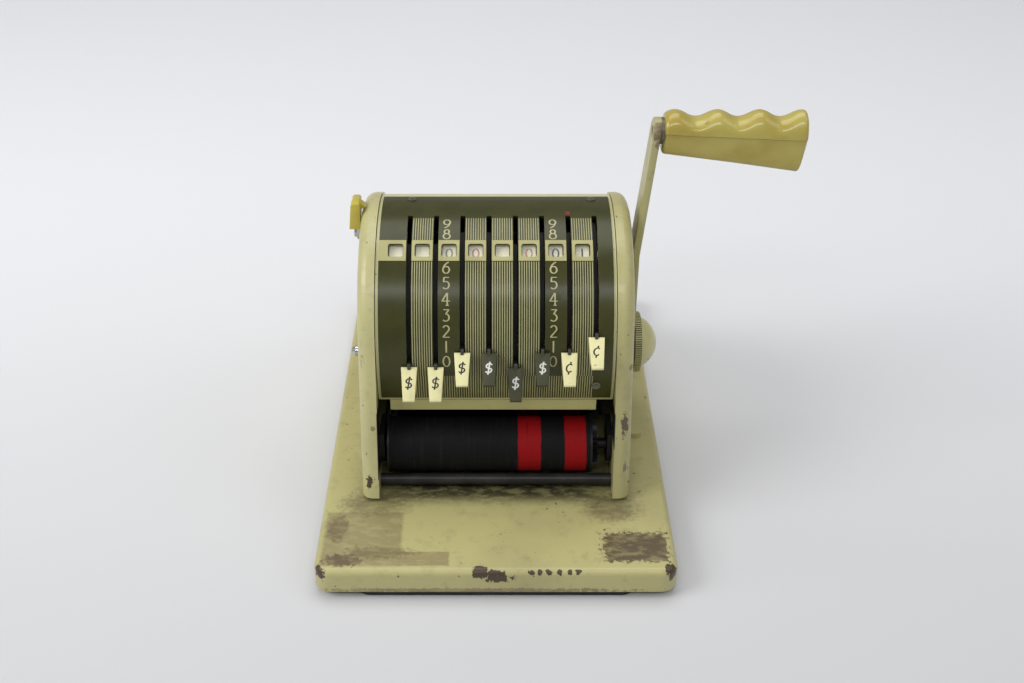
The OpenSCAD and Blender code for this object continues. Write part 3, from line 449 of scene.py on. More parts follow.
@dataclass(frozen=True)
class WornEnamel(Finish):
    """Old glossy enamel with grime, specks, stains, chips and spots of painted shade.

    Attributes:
        grime: Colour of the grime.
        dirt: Overall share of grime.
        specks: Density of small dark specks, 0 to 1.
        spots: Chips, stains and painted shade at named places.
    """

    grime: Color = (0.12, 0.095, 0.05)
    dirt: float = 0.5
    specks: float = 0.5
    spots: tuple[Spot, ...] = ()

    def make(self) -> bpy.types.Material:
        """Makes the node tree.

        Returns:
            The material.
        """
        board = Board(self.name)
        broad = board.noise(14.0, 4.0)
        fine = board.noise(160.0, 4.0, rough=0.62)
        ragged = board.noise(420.0, 5.0, rough=0.7)
        film = board.math("MULTIPLY", board.ramp(broad, 0.42, 0.72), self.dirt)
        mottle = board.math("MULTIPLY", board.ramp(fine, 0.5, 0.78), 0.30 * self.dirt)
        dulled = tuple(0.72 * c + 0.28 * g for c, g in zip(self.color, self.grime))
        color = board.mix(film, self.color, dulled)
        color = board.mix(mottle, color, self.grime)
        speck = board.ramp(board.noise(330.0, 2.0, rough=0.5), 0.735 - 0.035 * self.specks, 0.765)
        color = board.mix(board.math("MULTIPLY", speck, 0.85), color, (0.055, 0.038, 0.022))
        patchy = board.ramp(board.noise(260.0, 4.0, (0.6, 1.4, 1.0), 0.7), 0.38, 0.56, 0.68, 1.0)
        for spot in self.spots:
            mask = board.spot(spot, ragged)
            if spot.strength < 1.0:
                mask = board.math("MULTIPLY", mask, board.math("MULTIPLY", patchy, spot.strength))
            color = board.mix(mask, color, spot.color)
        rough = board.math("ADD", self.rough, board.math("MULTIPLY", fine, 0.22))
        grain = board.noise(900.0, 2.0)
        return board.surface(color, rough, coat=self.coat, bump=grain, height=0.00003, shine=self.shine)


@dataclass(frozen=True)
class InkedRibbon(Finish):
    """Wound inked ribbon: black with bands of red, threads and streaks running round.

    Attributes:
        bands: Ranges along x that are red, in millimetres.
        red: Colour of the bands.
    """

    bands: tuple[tuple[float, float], ...] = ((10.9, 22.2), (34.0, 44.6))
    red: Color = (0.26, 0.004, 0.006)

    def make(self) -> bpy.types.Material:
        """Makes the node tree.

        Returns:
            The material.
        """
        board = Board(self.name)
        across, _, _ = board.axes()
        wobble = board.math("MULTIPLY", board.math("SUBTRACT", board.noise(120.0), 0.5), 0.0012)
        edge = board.math("ADD", across, wobble)
        thread = board.noise(900.0, 3.0, (1.0, 0.06, 0.06))
        mask: Any = 0.0
        for low, high in self.bands:
            inside = board.math(
                "MULTIPLY",
                board.ramp(edge, (low - 0.25) * MM, (low + 0.25) * MM),
                board.ramp(edge, (high + 0.25) * MM, (high - 0.25) * MM),
            )
            mask = board.math("MAXIMUM", mask, inside)
        streak = board.math("MULTIPLY", board.ramp(thread, 0.60, 0.70), 0.55)
        lively = board.mix(streak, self.red, (0.10, 0.003, 0.004))
        worn = board.mix(board.ramp(thread, 0.52, 0.75), self.color, (0.014, 0.0135, 0.013))
        color = board.mix(mask, worn, lively)
        return board.surface(color, self.rough, bump=thread, height=0.00006, shine=self.shine)


@dataclass(frozen=True)
class GripPlastic(Finish):
    """Glossy moulded grip with a yellowed mottle and small brown spots."""

    def make(self) -> bpy.types.Material:
        """Makes the node tree.

        Returns:
            The material.
        """
        board = Board(self.name)
        cloud = board.noise(55.0, 3.0, (0.6, 1.0, 1.0))
        deep = tuple(c * k for c, k in zip(self.color, (0.86, 0.78, 0.55)))
        color = board.mix(board.ramp(cloud, 0.40, 0.68), self.color, deep)
        spot = board.ramp(board.noise(110.0, 1.5), 0.70, 0.76)
        color = board.mix(board.math("MULTIPLY", spot, 0.55), color, (0.17, 0.10, 0.03))
        return board.surface(color, self.rough, coat=self.coat, bump=board.noise(60.0, 1.0), height=0.00015)


@dataclass(frozen=True)
class RimFinish(Finish):
    """Dark turned part with a lighter rim, such as a blackened sector with a bare edge, or cream knurl ribs
    over grooves in painted shade.

    Attributes:
        rim: Radius beyond which the light colour shows.
        bare: Colour of the rim.
        axis: Any point of the axis, which lies along X.
        fade: Half width of the change between the two colours.
    """

    rim: float = 60.0 * MM
    bare: Color = (0.085, 0.083, 0.070)
    axis: Triple = (0.0, FACE_AXIS.y, FACE_AXIS.z)
    fade: float = 0.4 * MM

    def make(self) -> bpy.types.Material:
        """Makes the node tree.

        Returns:
            The material.
        """
        board = Board(self.name)
        flat = board.vector("MULTIPLY", board.place(), (0.0, 1.0, 1.0))
        reach = board.vector("DISTANCE", flat, (0.0, self.axis[1], self.axis[2]))
        share = board.ramp(reach, self.rim - self.fade, self.rim + self.fade)
        color = board.mix(share, self.color, self.bare)
        return board.surface(color, self.rough, self.metal, shine=self.shine)


@dataclass(frozen=True)
class Clear(Finish):
    """Thin clear plastic.

    Attributes:
        cover: How much of what lies behind it is hidden.
    """

    cover: float = 0.07

    def make(self) -> bpy.types.Material:
        """Makes the node tree.

        Returns:
            The material.
        """
        board = Board(self.name)
        made = board.surface(self.color, self.rough)
        shader = next(n for n in board.tree.nodes if n.type == "BSDF_PRINCIPLED")
        shader.inputs["Alpha"].default_value = self.cover
        return made


# place along X and half width of each small chip in the row on the front edge, millimetres
EDGE_CHIPS = ((16.3, 1.5), (20.4, 1.3), (24.6, 1.7), (29.7, 1.2), (34.3, 0.9), (38.5, 1.5))


class Look(Enum):
    """The finishes of the machine."""

    ENAMEL = WornEnamel("enamel_plain", (0.47, 0.43, 0.185), 0.28, coat=0.15)
    BASE = WornEnamel(
        "enamel_base",
        (0.47, 0.43, 0.185),
        0.30,
        coat=0.15,
        dirt=0.75,
        specks=0.9,
        spots=(
            # oblong of old glue at the left, with smears
            Spot((-63.5, -108, 16.5), (18.5, 19, 3), (0.27, 0.22, 0.10), 0.85, 0.04, True),
            Spot((-34, -122, 16.5), (12, 4.8, 3), (0.27, 0.22, 0.10), 0.85, 0.10, True),
            Spot((-76, -101, 16.5), (5, 9, 3), (0.14, 0.10, 0.05), 0.75, 1.0, soft=0.3),
            Spot((-55, -118, 16.5), (15, 4, 2), (0.15, 0.11, 0.05), 0.65, 1.2, soft=0.3),
            Spot((-72, -123, 16.5), (9, 4, 2), (0.09, 0.06, 0.03), 0.80, 1.2, soft=0.2),
            # scraped patch at the right
            Spot((66, -114, 16.5), (15, 10, 2), (0.085, 0.058, 0.030), 0.95, 0.65, True),
            # chips along the front edge
            Spot((-7, -130, 15.4), (4.2, 3.0, 3.2), rag=0.9),
            Spot((-1, -130.5, 15.0), (5.2, 1.4, 1.8), rag=1.5),
            Spot((1, -131, 12.4), (5.5, 1.5, 2.2), rag=2.0),
            Spot((81, -128, 14.5), (3.0, 3.2, 4.0), rag=1.4),
            Spot((-82, -128, 14.0), (2.6, 3.0, 3.0), rag=1.5),
            *(Spot((x, -130.2, 15.5), (w, 1.3, 1.3), rag=1.7) for x, w in EDGE_CHIPS),
            # painted shadow under the rod, with some grime in it; darker soft patches in front of the feet,
            # and a brown line low on the front face
            Spot((0, -65, 16.5), (58, 15, 4), (0.024, 0.020, 0.011), 0.96, 0.12, True, 0.42),
            Spot((57, -86, 16.5), (13, 9, 4), (0.11, 0.085, 0.04), 0.75, 0.8, soft=0.5),
            Spot((-60, -83, 16.5), (15, 8, 4), (0.11, 0.085, 0.04), 0.65, 0.8, soft=0.5),
            Spot((-10, -131, 5.0), (70, 1.5, 1.3), (0.13, 0.07, 0.045), 0.60, 1.8),
        ),
    )
    ARM = WornEnamel(
        "enamel_arm",
        (0.45, 0.415, 0.185),
        0.28,
        coat=0.15,
        dirt=0.6,
        specks=0.6,
        # enamel worn through where the grip is bolted on
        spots=(
            Spot((77.5, -5, 181), (3.5, 3.5, 5.5), (0.12, 0.075, 0.04), 0.85, 1.6, soft=0.2),
            Spot((78.5, -6.5, 174), (2.5, 2.5, 3.0), (0.12, 0.08, 0.045), 0.8, 1.6),
        ),
    )
    # painted light: the left casting's enamel is lighter than the right one's, as more light falls from the
    # left
    LEFT_CASTING = WornEnamel(
        "enamel_left",
        (0.52, 0.485, 0.225),
        0.27,
        coat=0.2,
        dirt=0.70,
        specks=0.90,
        spots=(
            Spot((-59.6, -70, 54.5), (1.5, 3, 1.5), (0.16, 0.12, 0.05), 0.85, 0.2),
            Spot((-62, -77, 26), (1.6, 3, 4.5), rag=1.3),
            Spot((-65.5, -62, 96), (0.7, 2, 3.5), (0.03, 0.025, 0.02), rag=0.9),
            Spot((-63.5, -60, 84), (1.4, 3, 7), (0.16, 0.12, 0.06), 0.5, 1.2),
            # painted shade: inner wall near black, inside the casting
            Spot((-56.6, -50, 45), (1.2, 40, 17), (0.010, 0.010, 0.009), 1.0, 0.0, True, 0.02),
        ),
    )
    RIGHT_CASTING = WornEnamel(
        "enamel_right",
        (0.45, 0.415, 0.18),
        0.27,
        coat=0.2,
        dirt=0.78,
        specks=0.95,
        spots=(
            Spot((62.2, -70, 55), (1.7, 3, 7), (0.11, 0.08, 0.045), rag=1.2),
            Spot((64.4, -61, 84), (1.3, 3, 1.8), (0.15, 0.11, 0.06), 0.8, 0.5),
            Spot((63, -75, 34), (1.0, 3, 3), (0.14, 0.10, 0.06), 0.8, 1.0),
            # painted shade: inner wall near black, inside the casting
            Spot((56.6, -50, 53), (1.2, 40, 9), (0.010, 0.010, 0.009), 1.0, 0.0, True, 0.02),
        ),
    )
    COVER = WornEnamel(
        "enamel_cover",
        (0.58, 0.55, 0.28),
        0.26,
        coat=0.2,
        dirt=0.35,
        specks=0.25,
        # painted shade: the cover is near black at the slots' upper ends, where it lies under the plate
        spots=(Spot((3.05, -17, 140), (49, 6, 6), (0.008, 0.008, 0.007), 1.0, 0.0, True, 0.02),),
    )
    BAR = WornEnamel("enamel_bar", (0.48, 0.445, 0.18), 0.30, coat=0.1, dirt=0.5, specks=0.4)
    FACE = Finish("face_olive", (0.044, 0.045, 0.009), 0.27, mottle=0.10, shine=0.32)
    PRINT = Finish("print_cream", (0.42, 0.40, 0.20), 0.40, mottle=0.10)
    RED_MARK = Finish("mark_red", (0.20, 0.008, 0.008), 0.4)
    FRAME = Finish("frame_cream", (0.43, 0.405, 0.185), 0.55, mottle=0.08, shine=0.2)
    CARD = Finish("figure_card", (0.93, 0.88, 0.64), 0.6, mottle=0.05)
    BLACK_INK = Finish("figure_black", (0.012, 0.012, 0.012), 0.5)
    GREY_INK = Finish("figure_grey", (0.26, 0.25, 0.21), 0.5)
    RED_INK = Finish("figure_red", (0.55, 0.26, 0.20), 0.5)
    TAB_CREAM = WornEnamel("tab_cream", (0.78, 0.73, 0.39), 0.50, dirt=0.55, specks=0.4, shine=0.25)
    TAB_DARK = Finish("tab_dark", (0.050, 0.051, 0.022), 0.50, shine=0.3)
    SIGN_BLACK = Finish("sign_black", (0.012, 0.012, 0.014), 0.45)
    SIGN_WHITE = Finish("sign_white", (0.62, 0.61, 0.56), 0.45)
    GRIP = GripPlastic("grip_yellow", (0.46, 0.385, 0.085), 0.24, coat=0.3)
    TAB_YELLOW = GripPlastic("side_tab_yellow", (0.55, 0.46, 0.06), 0.18, coat=0.3)
    CAP = WornEnamel("cap_cream", (0.54, 0.51, 0.235), 0.22, coat=0.3, dirt=0.3, specks=0.2)
    STEEL = Finish("steel", (0.36, 0.36, 0.35), 0.34, metal=1.0)
    BRIGHT = Finish("steel_bright", (0.55, 0.55, 0.54), 0.24, metal=1.0)
    SCREW = Finish("steel_dull", (0.20, 0.20, 0.16), 0.42, metal=0.7)
    DARK_STEEL = Finish("steel_black", (0.030, 0.030, 0.030), 0.38, metal=0.3)
    SECTOR = RimFinish("sector_black", (0.008, 0.008, 0.008), 0.5, metal=0.2, shine=0.2)
    ROD = Finish("rod_dark", (0.024, 0.023, 0.021), 0.36, metal=0.2, mottle=0.35, shine=0.35)
    BRONZE = Finish("bronze", (0.36, 0.25, 0.11), 0.35, metal=1.0)
    RIBBON = InkedRibbon("ribbon_inked", (0.006, 0.006, 0.007), 0.62, shine=0.12)
    BLACK = Finish("moulding_black", (0.008, 0.008, 0.009), 0.45, shine=0.3)
    RUBBER = Finish("rubber", (0.02, 0.02, 0.02), 0.75)
    GLASS = Clear("window_clear", (0.85, 0.87, 0.84), 0.06)
    # painted shade: dark in the knurl's grooves, below the ribs' tops, and cream on the ribs
    KNURL = RimFinish(
        "enamel_knurled",
        (0.13, 0.11, 0.05),
        0.35,
        rim=RING_RADIUS - 0.30 * MM,
        bare=(0.43, 0.40, 0.17),
        axis=(0.0, HANDLE_AXIS.y, HANDLE_AXIS.z),
        fade=0.10 * MM,
    )
    COLLAR = Finish("collar_dark", (0.15, 0.13, 0.08), 0.45, metal=0.4)


# ---------- making meshes ----------


@dataclass
class Shape:
    """A piece while it is built.

    Attributes:
        verts: Its points.
        faces: Its faces, as places in the list of points.
        marks: Number of the finish of each face.
    """

    verts: list[Vector] = field(default_factory=list)
    faces: list[tuple[int, ...]] = field(default_factory=list)
    marks: list[int] = field(default_factory=list)

    def prism(self, bottom: Sequence[Vector], top: Sequence[Vector], mark: int = 0) -> None:
        """Adds a closed prism.

        Args:
            bottom: Its lower outline, anticlockwise seen from above.
            top: Its upper outline, point for point.
            mark: Number of the finish.
        """
        n = len(bottom)
        base = len(self.verts)
        self.verts += [*bottom, *top]
        self.faces.append(tuple(base + k for k in reversed(range(n))))
        self.faces.append(tuple(base + n + k for k in range(n)))
        for k in range(n):
            j = (k + 1) % n
            self.faces.append((base + k, base + j, base + n + j, base + n + k))
        self.marks += [mark] * (n + 2)

    def object(self, name: str, looks: Sequence[Look], smooth: float | None = None) -> bpy.types.Object:
        """Turns the shape into an object.

        Args:
            name: Name of the piece.
            looks: Finishes in the order of the finish numbers.
            smooth: Largest angle that is shaded smooth, in radians, or None for flat.

        Returns:
            The object.
        """
        mesh = bpy.data.meshes.new(name)
        mesh.from_pydata([tuple(v) for v in self.verts], [], self.faces)
        for look in looks:
            mesh.materials.append(look.value.build())
        mesh.polygons.foreach_set("material_index", self.marks)
        work = bmesh.new()
        work.from_mesh(mesh)
        bmesh.ops.recalc_face_normals(work, faces=work.faces)
        work.to_mesh(mesh)
        work.free()
        mesh.validate()
        made = bpy.data.objects.new(name, mesh)
        bpy.context.scene.collection.objects.link(made)
        if smooth is not None:
            shade(made, smooth)
        return made


def shade(piece: bpy.types.Object, angle: float) -> None:
    """Turns a piece's faces outward and shades it smooth below an angle.

    Args:
        piece: The piece.
        angle: The angle, in radians.
    """
    mesh = piece.data
    work = bmesh.new()
    work.from_mesh(mesh)
    bmesh.ops.recalc_face_normals(work, faces=work.faces)
    for edge in work.edges:
        turn = edge.calc_face_angle(math.pi)
        edge.smooth = turn < angle
    for face in work.faces:
        face.smooth = True
    work.to_mesh(mesh)
    work.free()


def strip(shape: Shape, path: Stroke, place: Place, mark: int, thick: float) -> None:
    """Adds a stroke of changing width as a row of closed flat prisms.

    Args:
        shape: What the stroke is added to.
        path: Points of the stroke as (u, v, half width).
        place: Gives the point at (u, v, height) of the surface.
        mark: Number of the finish.
        thick: How far the stroke stands above the surface.
    """
    sides: list[tuple[Point, Point]] = []
    for k, (u, v, half) in enumerate(path):
        before, after = path[max(k - 1, 0)], path[min(k + 1, len(path) - 1)]
        du, dv = after[0] - before[0], after[1] - before[1]
        size = math.hypot(du, dv) or 1.0
        nu, nv = -dv / size * half, du / size * half
        sides.append(((u + nu, v + nv), (u - nu, v - nv)))
    base = len(shape.verts)
    for left, right in sides:
        for point in (left, right):
            shape.verts.append(place(point[0], point[1], 0.0))
            shape.verts.append(place(point[0], point[1], thick))
    # each section has left low, left high, right low, right high
    last = len(sides) - 1
    for k in range(last):
        a, b = base + 4 * k, base + 4 * (k + 1)
        shape.faces += [
            (a + 1, a + 3, b + 3, b + 1),
            (a, b, b + 2, a + 2),
            (a, a + 1, b + 1, b),
            (a + 2, b + 2, b + 3, a + 3),
        ]
        shape.marks += [mark] * 4
    a, b = base, base + 4 * last
    shape.faces += [(a, a + 2, a + 3, a + 1), (b, b + 1, b + 3, b + 2)]
    shape.marks += [mark] * 2


def soften(node: str, name: str, width: float, look: Look, segments: int = 2) -> bpy.types.Object:
    """Makes a copy of a CAD node with its edges rounded off.

    Args:
        node: The CAD node.
        name: Name of the new piece.
        width: Width of the rounding, in metres.
        look: Finish of the piece.
        segments: Steps of the rounding.

    Returns:
        The new piece.
    """
    source = frame["nodes"][node]
    work = bmesh.new()
    work.from_mesh(source.data)
    bmesh.ops.remove_doubles(work, verts=work.verts, dist=2e-6)
    bmesh.ops.dissolve_limit(
        work,
        angle_limit=math.radians(0.6),
        verts=work.verts,
        edges=work.edges,
        use_dissolve_boundaries=False,
    )
    mesh = bpy.data.meshes.new(name)
    work.to_mesh(mesh)
    work.free()
    mesh.materials.clear()
    mesh.materials.append(look.value.build())
    mesh.polygons.foreach_set("material_index", [0] * len(mesh.polygons))
    rough_piece = bpy.data.objects.new(name + "_work", mesh)
    bpy.context.scene.collection.objects.link(rough_piece)
    bevel = rough_piece.modifiers.new("round", "BEVEL")
    bevel.width = width
    bevel.segments = segments
    bevel.limit_method = "ANGLE"
    bevel.angle_limit = math.radians(32)
    bevel.use_clamp_overlap = True
    return bake(rough_piece, name, math.radians(40))


def bake(source: bpy.types.Object, name: str, smooth: float | None = None) -> bpy.types.Object:
    """Turns an object with modifiers into a plain mesh object and removes the source.

    Args:
        source: The object with live modifiers.
        name: Name of the plain object.
        smooth: Largest angle that is shaded smooth, or None to leave the shading.

    Returns:
        The plain object.
    """
    depsgraph = bpy.context.evaluated_depsgraph_get()
    mesh = bpy.data.meshes.new_from_object(source.evaluated_get(depsgraph))
    mesh.name = name
    made = bpy.data.objects.new(name, mesh)
    bpy.context.scene.collection.objects.link(made)
    bpy.data.objects.remove(source, do_unlink=True)
    if smooth is not None:
        shade(made, smooth)
    return made


# ---------- geometry nodes ----------


class Number:
    """A number inside a geometry node tree, with signs for the sums it takes part in."""

    def __init__(self, tree: "Tree", socket: Socket) -> None:
        """Wraps a socket.

        Args:
            tree: The tree that gets the math nodes.
            socket: The socket that gives the number.
        """
        self.tree = tree
        self.socket = socket

    def __add__(self, other: "Number | float") -> "Number":
        """Adds."""
        return self.tree.math("ADD", self, other)

    def __sub__(self, other: "Number | float") -> "Number":
        """Subtracts."""
        return self.tree.math("SUBTRACT", self, other)

    def __rsub__(self, other: float) -> "Number":
        """Subtracts from a plain number."""
        return self.tree.math("SUBTRACT", other, self)

    def __mul__(self, other: "Number | float") -> "Number":
        """Multiplies."""
        return self.tree.math("MULTIPLY", self, other)

    def __truediv__(self, other: "Number | float") -> "Number":
        """Divides."""
        return self.tree.math("DIVIDE", self, other)

    def __pow__(self, other: "Number | float") -> "Number":
        """Raises to a power."""
        return self.tree.math("POWER", self, other)

    def __neg__(self) -> "Number":
        """Turns the sign."""
        return self.tree.math("MULTIPLY", self, -1.0)

    def __abs__(self) -> "Number":
        """Drops the sign."""
        return self.tree.math("ABSOLUTE", self)


class Tree:
    """A geometry node tree with named inputs."""

    def __init__(self, name: str) -> None:
        """Starts an empty tree.

        Args:
            name: Name of the tree.
        """
        self.tree = bpy.data.node_groups.new(name, "GeometryNodeTree")
        self.tree.interface.new_socket(name="Geometry", in_out="OUTPUT", socket_type="NodeSocketGeometry")
        self.entry = self.tree.nodes.new("NodeGroupInput")
        self.ids: dict[str, str] = {}

    def given(self, name: str, kind: str = "Float") -> Number:
        """Adds a named input.

        Args:
            name: Name of the input.
            kind: Float, Int or Material.

        Returns:
            The input inside the tree.
        """
        made = self.tree.interface.new_socket(name=name, in_out="INPUT", socket_type=f"NodeSocket{kind}")
        self.ids[name] = made.identifier
        return Number(self, next(s for s in self.entry.outputs if s.identifier == made.identifier))

    def node(self, kind: str, feeds: dict[Any, Any] | None = None, **settings: Any) -> bpy.types.Node:
        """Adds a node.

        Args:
            kind: Blender's name of the node type.
            feeds: Plain values, sockets or numbers for its inputs, by name or place.
            **settings: Properties to set on it.

        Returns:
            The node.
        """
        made = self.tree.nodes.new(kind)
        for key, value in settings.items():
            setattr(made, key, value)
        for key, given in (feeds or {}).items():
            value = given.socket if isinstance(given, Number) else given
            if isinstance(value, bpy.types.NodeSocket):
                self.tree.links.new(value, made.inputs[key])
            else:
                made.inputs[key].default_value = value
        return made

    def math(self, work: str, a: Any, b: Any = 0.0) -> Number:
        """Adds a math node.

        Args:
            work: The operation's name.
            a: First operand.
            b: Second operand.

        Returns:
            The result.
        """
        return Number(self, self.node("ShaderNodeMath", {0: a, 1: b}, operation=work).outputs[0])

    def combine(self, x: Any, y: Any, z: Any) -> Socket:
        """Combines three numbers into a vector.

        Args:
            x: First number.
            y: Second number.
            z: Third number.

        Returns:
            The vector.
        """
        return self.node("ShaderNodeCombineXYZ", {0: x, 1: y, 2: z}).outputs[0]

    def end(self, geometry: Socket, material: Number) -> None:
        """Ends the tree with Realize Instances and Set Material.

        Args:
            geometry: What the tree has made.
            material: Its material.
        """
        real = self.node("GeometryNodeRealizeInstances", {0: geometry})
        dressed = self.node("GeometryNodeSetMaterial", {"Geometry": real.outputs[0], "Material": material})
        out = self.tree.nodes.new("NodeGroupOutput")
        self.tree.links.new(dressed.outputs[0], out.inputs[0])

    def run(self, name: str, values: dict[str, Any], smooth: float | None = None) -> bpy.types.Object:
        """Runs the tree and keeps its result as a plain mesh.

        Args:
            name: Name of the piece.
            values: Value of each named input.
            smooth: Largest angle that is shaded smooth, or None for flat.

        Returns:
            The piece.
        """
        holder = bpy.data.objects.new(name + "_work", bpy.data.meshes.new(name + "_work"))
        bpy.context.scene.collection.objects.link(holder)
        modifier = holder.modifiers.new("nodes", "NODES")
        modifier.node_group = self.tree
        for key, value in values.items():
            modifier[self.ids[key]] = value
        return bake(holder, name, smooth)


def arc_strips_tree() -> Tree:
    """Builds the tree for strips that curve round the face's axis and repeat along X.

    Returns:
        The tree with inputs Count, First, Spacing, Radius, Width, Thickness, Start,
        Sweep and Finish.
    """
    tree = Tree("arc_strips")
    count = tree.given("Count", "Int")
    first = tree.given("First")
    spacing = tree.given("Spacing")
    radius = tree.given("Radius")
    width = tree.given("Width")
    thickness = tree.given("Thickness")
    start = tree.given("Start")
    sweep = tree.given("Sweep")
    finish = tree.given("Finish", "Material")
    arc = tree.node(
        "GeometryNodeCurveArc",
        {"Resolution": 64, "Radius": radius, "Start Angle": start, "Sweep Angle": sweep},
        mode="RADIUS",
    )
    level = tree.node("GeometryNodeSetCurveNormal", {"Curve": arc.outputs[0]}, mode="Z_UP")
    section = tree.node("GeometryNodeCurvePrimitiveQuadrilateral", {"Width": thickness, "Height": width})
    swept = tree.node(
        "GeometryNodeCurveToMesh",
        {"Curve": level.outputs[0], "Profile Curve": section.outputs[0], "Fill Caps": True},
    )
    # local X goes to the front, local Y up and local Z to -X
    turn = Matrix(((0, 0, -1), (-1, 0, 0), (0, 1, 0))).to_euler()
    stood = tree.node("GeometryNodeTransform", {"Geometry": swept.outputs[0], "Rotation": tuple(turn)})
    line = tree.node(
        "GeometryNodeMeshLine",
        {
            "Count": count,
            "Start Location": tree.combine(first, FACE_AXIS.y, FACE_AXIS.z),
            "Offset": tree.combine(spacing, 0.0, 0.0),
        },
        mode="OFFSET",
    )
    spread = tree.node(
        "GeometryNodeInstanceOnPoints", {"Points": line.outputs[0], "Instance": stood.outputs[0]}
    )
    tree.end(spread.outputs[0], finish)
    return tree


def knurl_tree() -> Tree:
    """Builds the tree for a disc along X with ribs round its rim.

    Returns:
        The tree with inputs Ribs, Radius, Depth, Width, Start, Length, Y, Z and Finish.
    """
    tree = Tree("knurled_ring")
    ribs = tree.given("Ribs", "Int")
    radius = tree.given("Radius")
    depth = tree.given("Depth")
    width = tree.given("Width")
    start = tree.given("Start")
    length = tree.given("Length")
    place_y = tree.given("Y")
    place_z = tree.given("Z")
    finish = tree.given("Finish", "Material")
    inner = radius - depth
    disc = tree.node("GeometryNodeMeshCylinder", {"Vertices": 144, "Radius": inner, "Depth": length})
    ring = tree.node("GeometryNodeMeshCircle", {"Vertices": ribs, "Radius": inner})
    index = Number(tree, tree.node("GeometryNodeInputIndex").outputs[0])
    angle = index * math.tau / ribs
    # a rib reaches as far into the disc as it stands out, and stops short of its faces
    rib = tree.node("GeometryNodeMeshCube", {"Size": tree.combine(depth * 2.0, width, length * 0.86)})
    spun = tree.node("FunctionNodeEulerToRotation", {0: tree.combine(0.0, 0.0, angle)})
    spread = tree.node(
        "GeometryNodeInstanceOnPoints",
        {"Points": ring.outputs[0], "Instance": rib.outputs[0], "Rotation": spun.outputs[0]},
    )
    joined = tree.node("GeometryNodeJoinGeometry")
    tree.tree.links.new(disc.outputs[0], joined.inputs[0])
    tree.tree.links.new(spread.outputs[0], joined.inputs[0])
    laid = tree.node(
        "GeometryNodeTransform",
        {
            "Geometry": joined.outputs[0],
            "Translation": tree.combine(start + length / 2.0, place_y, place_z),
            "Rotation": (0.0, math.pi / 2, 0.0),
        },
    )
    tree.end(laid.outputs[0], finish)
    return tree


def grip_tree() -> Tree:
    """Builds the tree for a moulded grip: a closed skin with finger hollows on top.

    The skin is a grid whose rows run round the grip. Above the parting line the section is a
    dome, below it a box that draws in, and the parting line itself is a small lip.

    Returns:
        The tree with inputs Rings, Sides, Length, Half width, Crest, Scallop, Pitch,
        First, Fall, Lip, Low, Drop, Taper, Slant, Lean, Round, X, Y, Z and Finish.
    """
    tree = Tree("finger_grip")
    rings = tree.given("Rings", "Int")
    sides = tree.given("Sides", "Int")
    length, half_width, crest = (tree.given(name) for name in ("Length", "Half width", "Crest"))
    scallop, pitch, first = (tree.given(name) for name in ("Scallop", "Pitch", "First"))
    fall, lip, lowest, drop = (tree.given(name) for name in ("Fall", "Lip", "Low", "Drop"))
    taper, slant, lean = (tree.given(name) for name in ("Taper", "Slant", "Lean"))
    rounding = tree.given("Round")
    place_x, place_y, place_z = (tree.given(name) for name in "XYZ")
    finish = tree.given("Finish", "Material")
    grid = tree.node("GeometryNodeMeshGrid", {"Vertices X": rings, "Vertices Y": sides})
    spot = tree.node("ShaderNodeSeparateXYZ", {0: tree.node("GeometryNodeInputPosition").outputs[0]})
    along = Number(tree, spot.outputs[0]) + 0.5
    angle = (Number(tree, spot.outputs[1]) + 0.5) * math.tau
    level, steep = tree.math("COSINE", angle), tree.math("SINE", angle)

    # the first and last rows close the ends, and the rows between them run along X
    end = 0.02
    share = tree.math("MINIMUM", tree.math("MAXIMUM", (along - end) / (1.0 - 2.0 * end), 0.0), 1.0)
    x = share * length
    near_end = tree.math("MINIMUM", x, length - x)
    bend = 1.0 - tree.math("MINIMUM", near_end / rounding, 1.0)
    full = 1.0 - rounding / (half_width * 1.3) * (1.0 - tree.math("SQRT", 1.0 - bend * bend))
    rim = tree.math("MINIMUM", along, 1.0 - along) / end
    shrink = full * tree.math("MINIMUM", rim, 1.0)

    # dome above the parting line, its height from the finger hollows
    turns = (x - first) / pitch * math.tau
    wave = (tree.math("COSINE", turns) - 1.0) * (scallop / 2.0)
    part = -(share * fall)
    dome_y = level * half_width
    dome_z = (crest + wave - part) * abs(steep) ** 0.85

    # box below it, with rounded corners and drawn in towards its underside
    flat, deep = abs(level) ** 0.35, abs(steep) ** 0.35
    box_y = tree.math("SIGN", level) * flat * ((half_width - lip) * (1.0 - deep * taper))
    box_z = -(deep * (lowest + share * drop))

    upper = tree.math("GREATER_THAN", steep, 0.001)
    lower = 1.0 - upper
    y = shrink * (upper * dome_y + lower * box_y)
    z = shrink * (upper * dome_z + lower * box_z)

    # both ends lean below the parting line
    sunk = tree.math("MAXIMUM", -z, 0.0)
    halves = share * 2.0 - 1.0
    outer_end = tree.math("MAXIMUM", halves, 0.0) * slant
    arm_end = tree.math("MAXIMUM", -halves, 0.0) * lean
    shift = sunk * (outer_end + arm_end)
    place = tree.combine(place_x + (x - shift), place_y + y, place_z + (z + part))
    moved = tree.node("GeometryNodeSetPosition", {"Geometry": grid.outputs[0], "Position": place})
    closed = tree.node("GeometryNodeMergeByDistance", {"Geometry": moved.outputs[0], "Distance": 0.01 * MM})
    tree.end(closed.outputs[0], finish)
    return tree


# ---------- figures and signs ----------


class Glyph(Enum):
    """Figures and money signs, each as strokes in a box one unit high."""

    ZERO = "0"
    ONE = "1"
    TWO = "2"
    THREE = "3"
    FOUR = "4"
    FIVE = "5"
    SIX = "6"
    SEVEN = "7"
    EIGHT = "8"
    NINE = "9"
    DOLLAR = "$"
    CENT = "c"


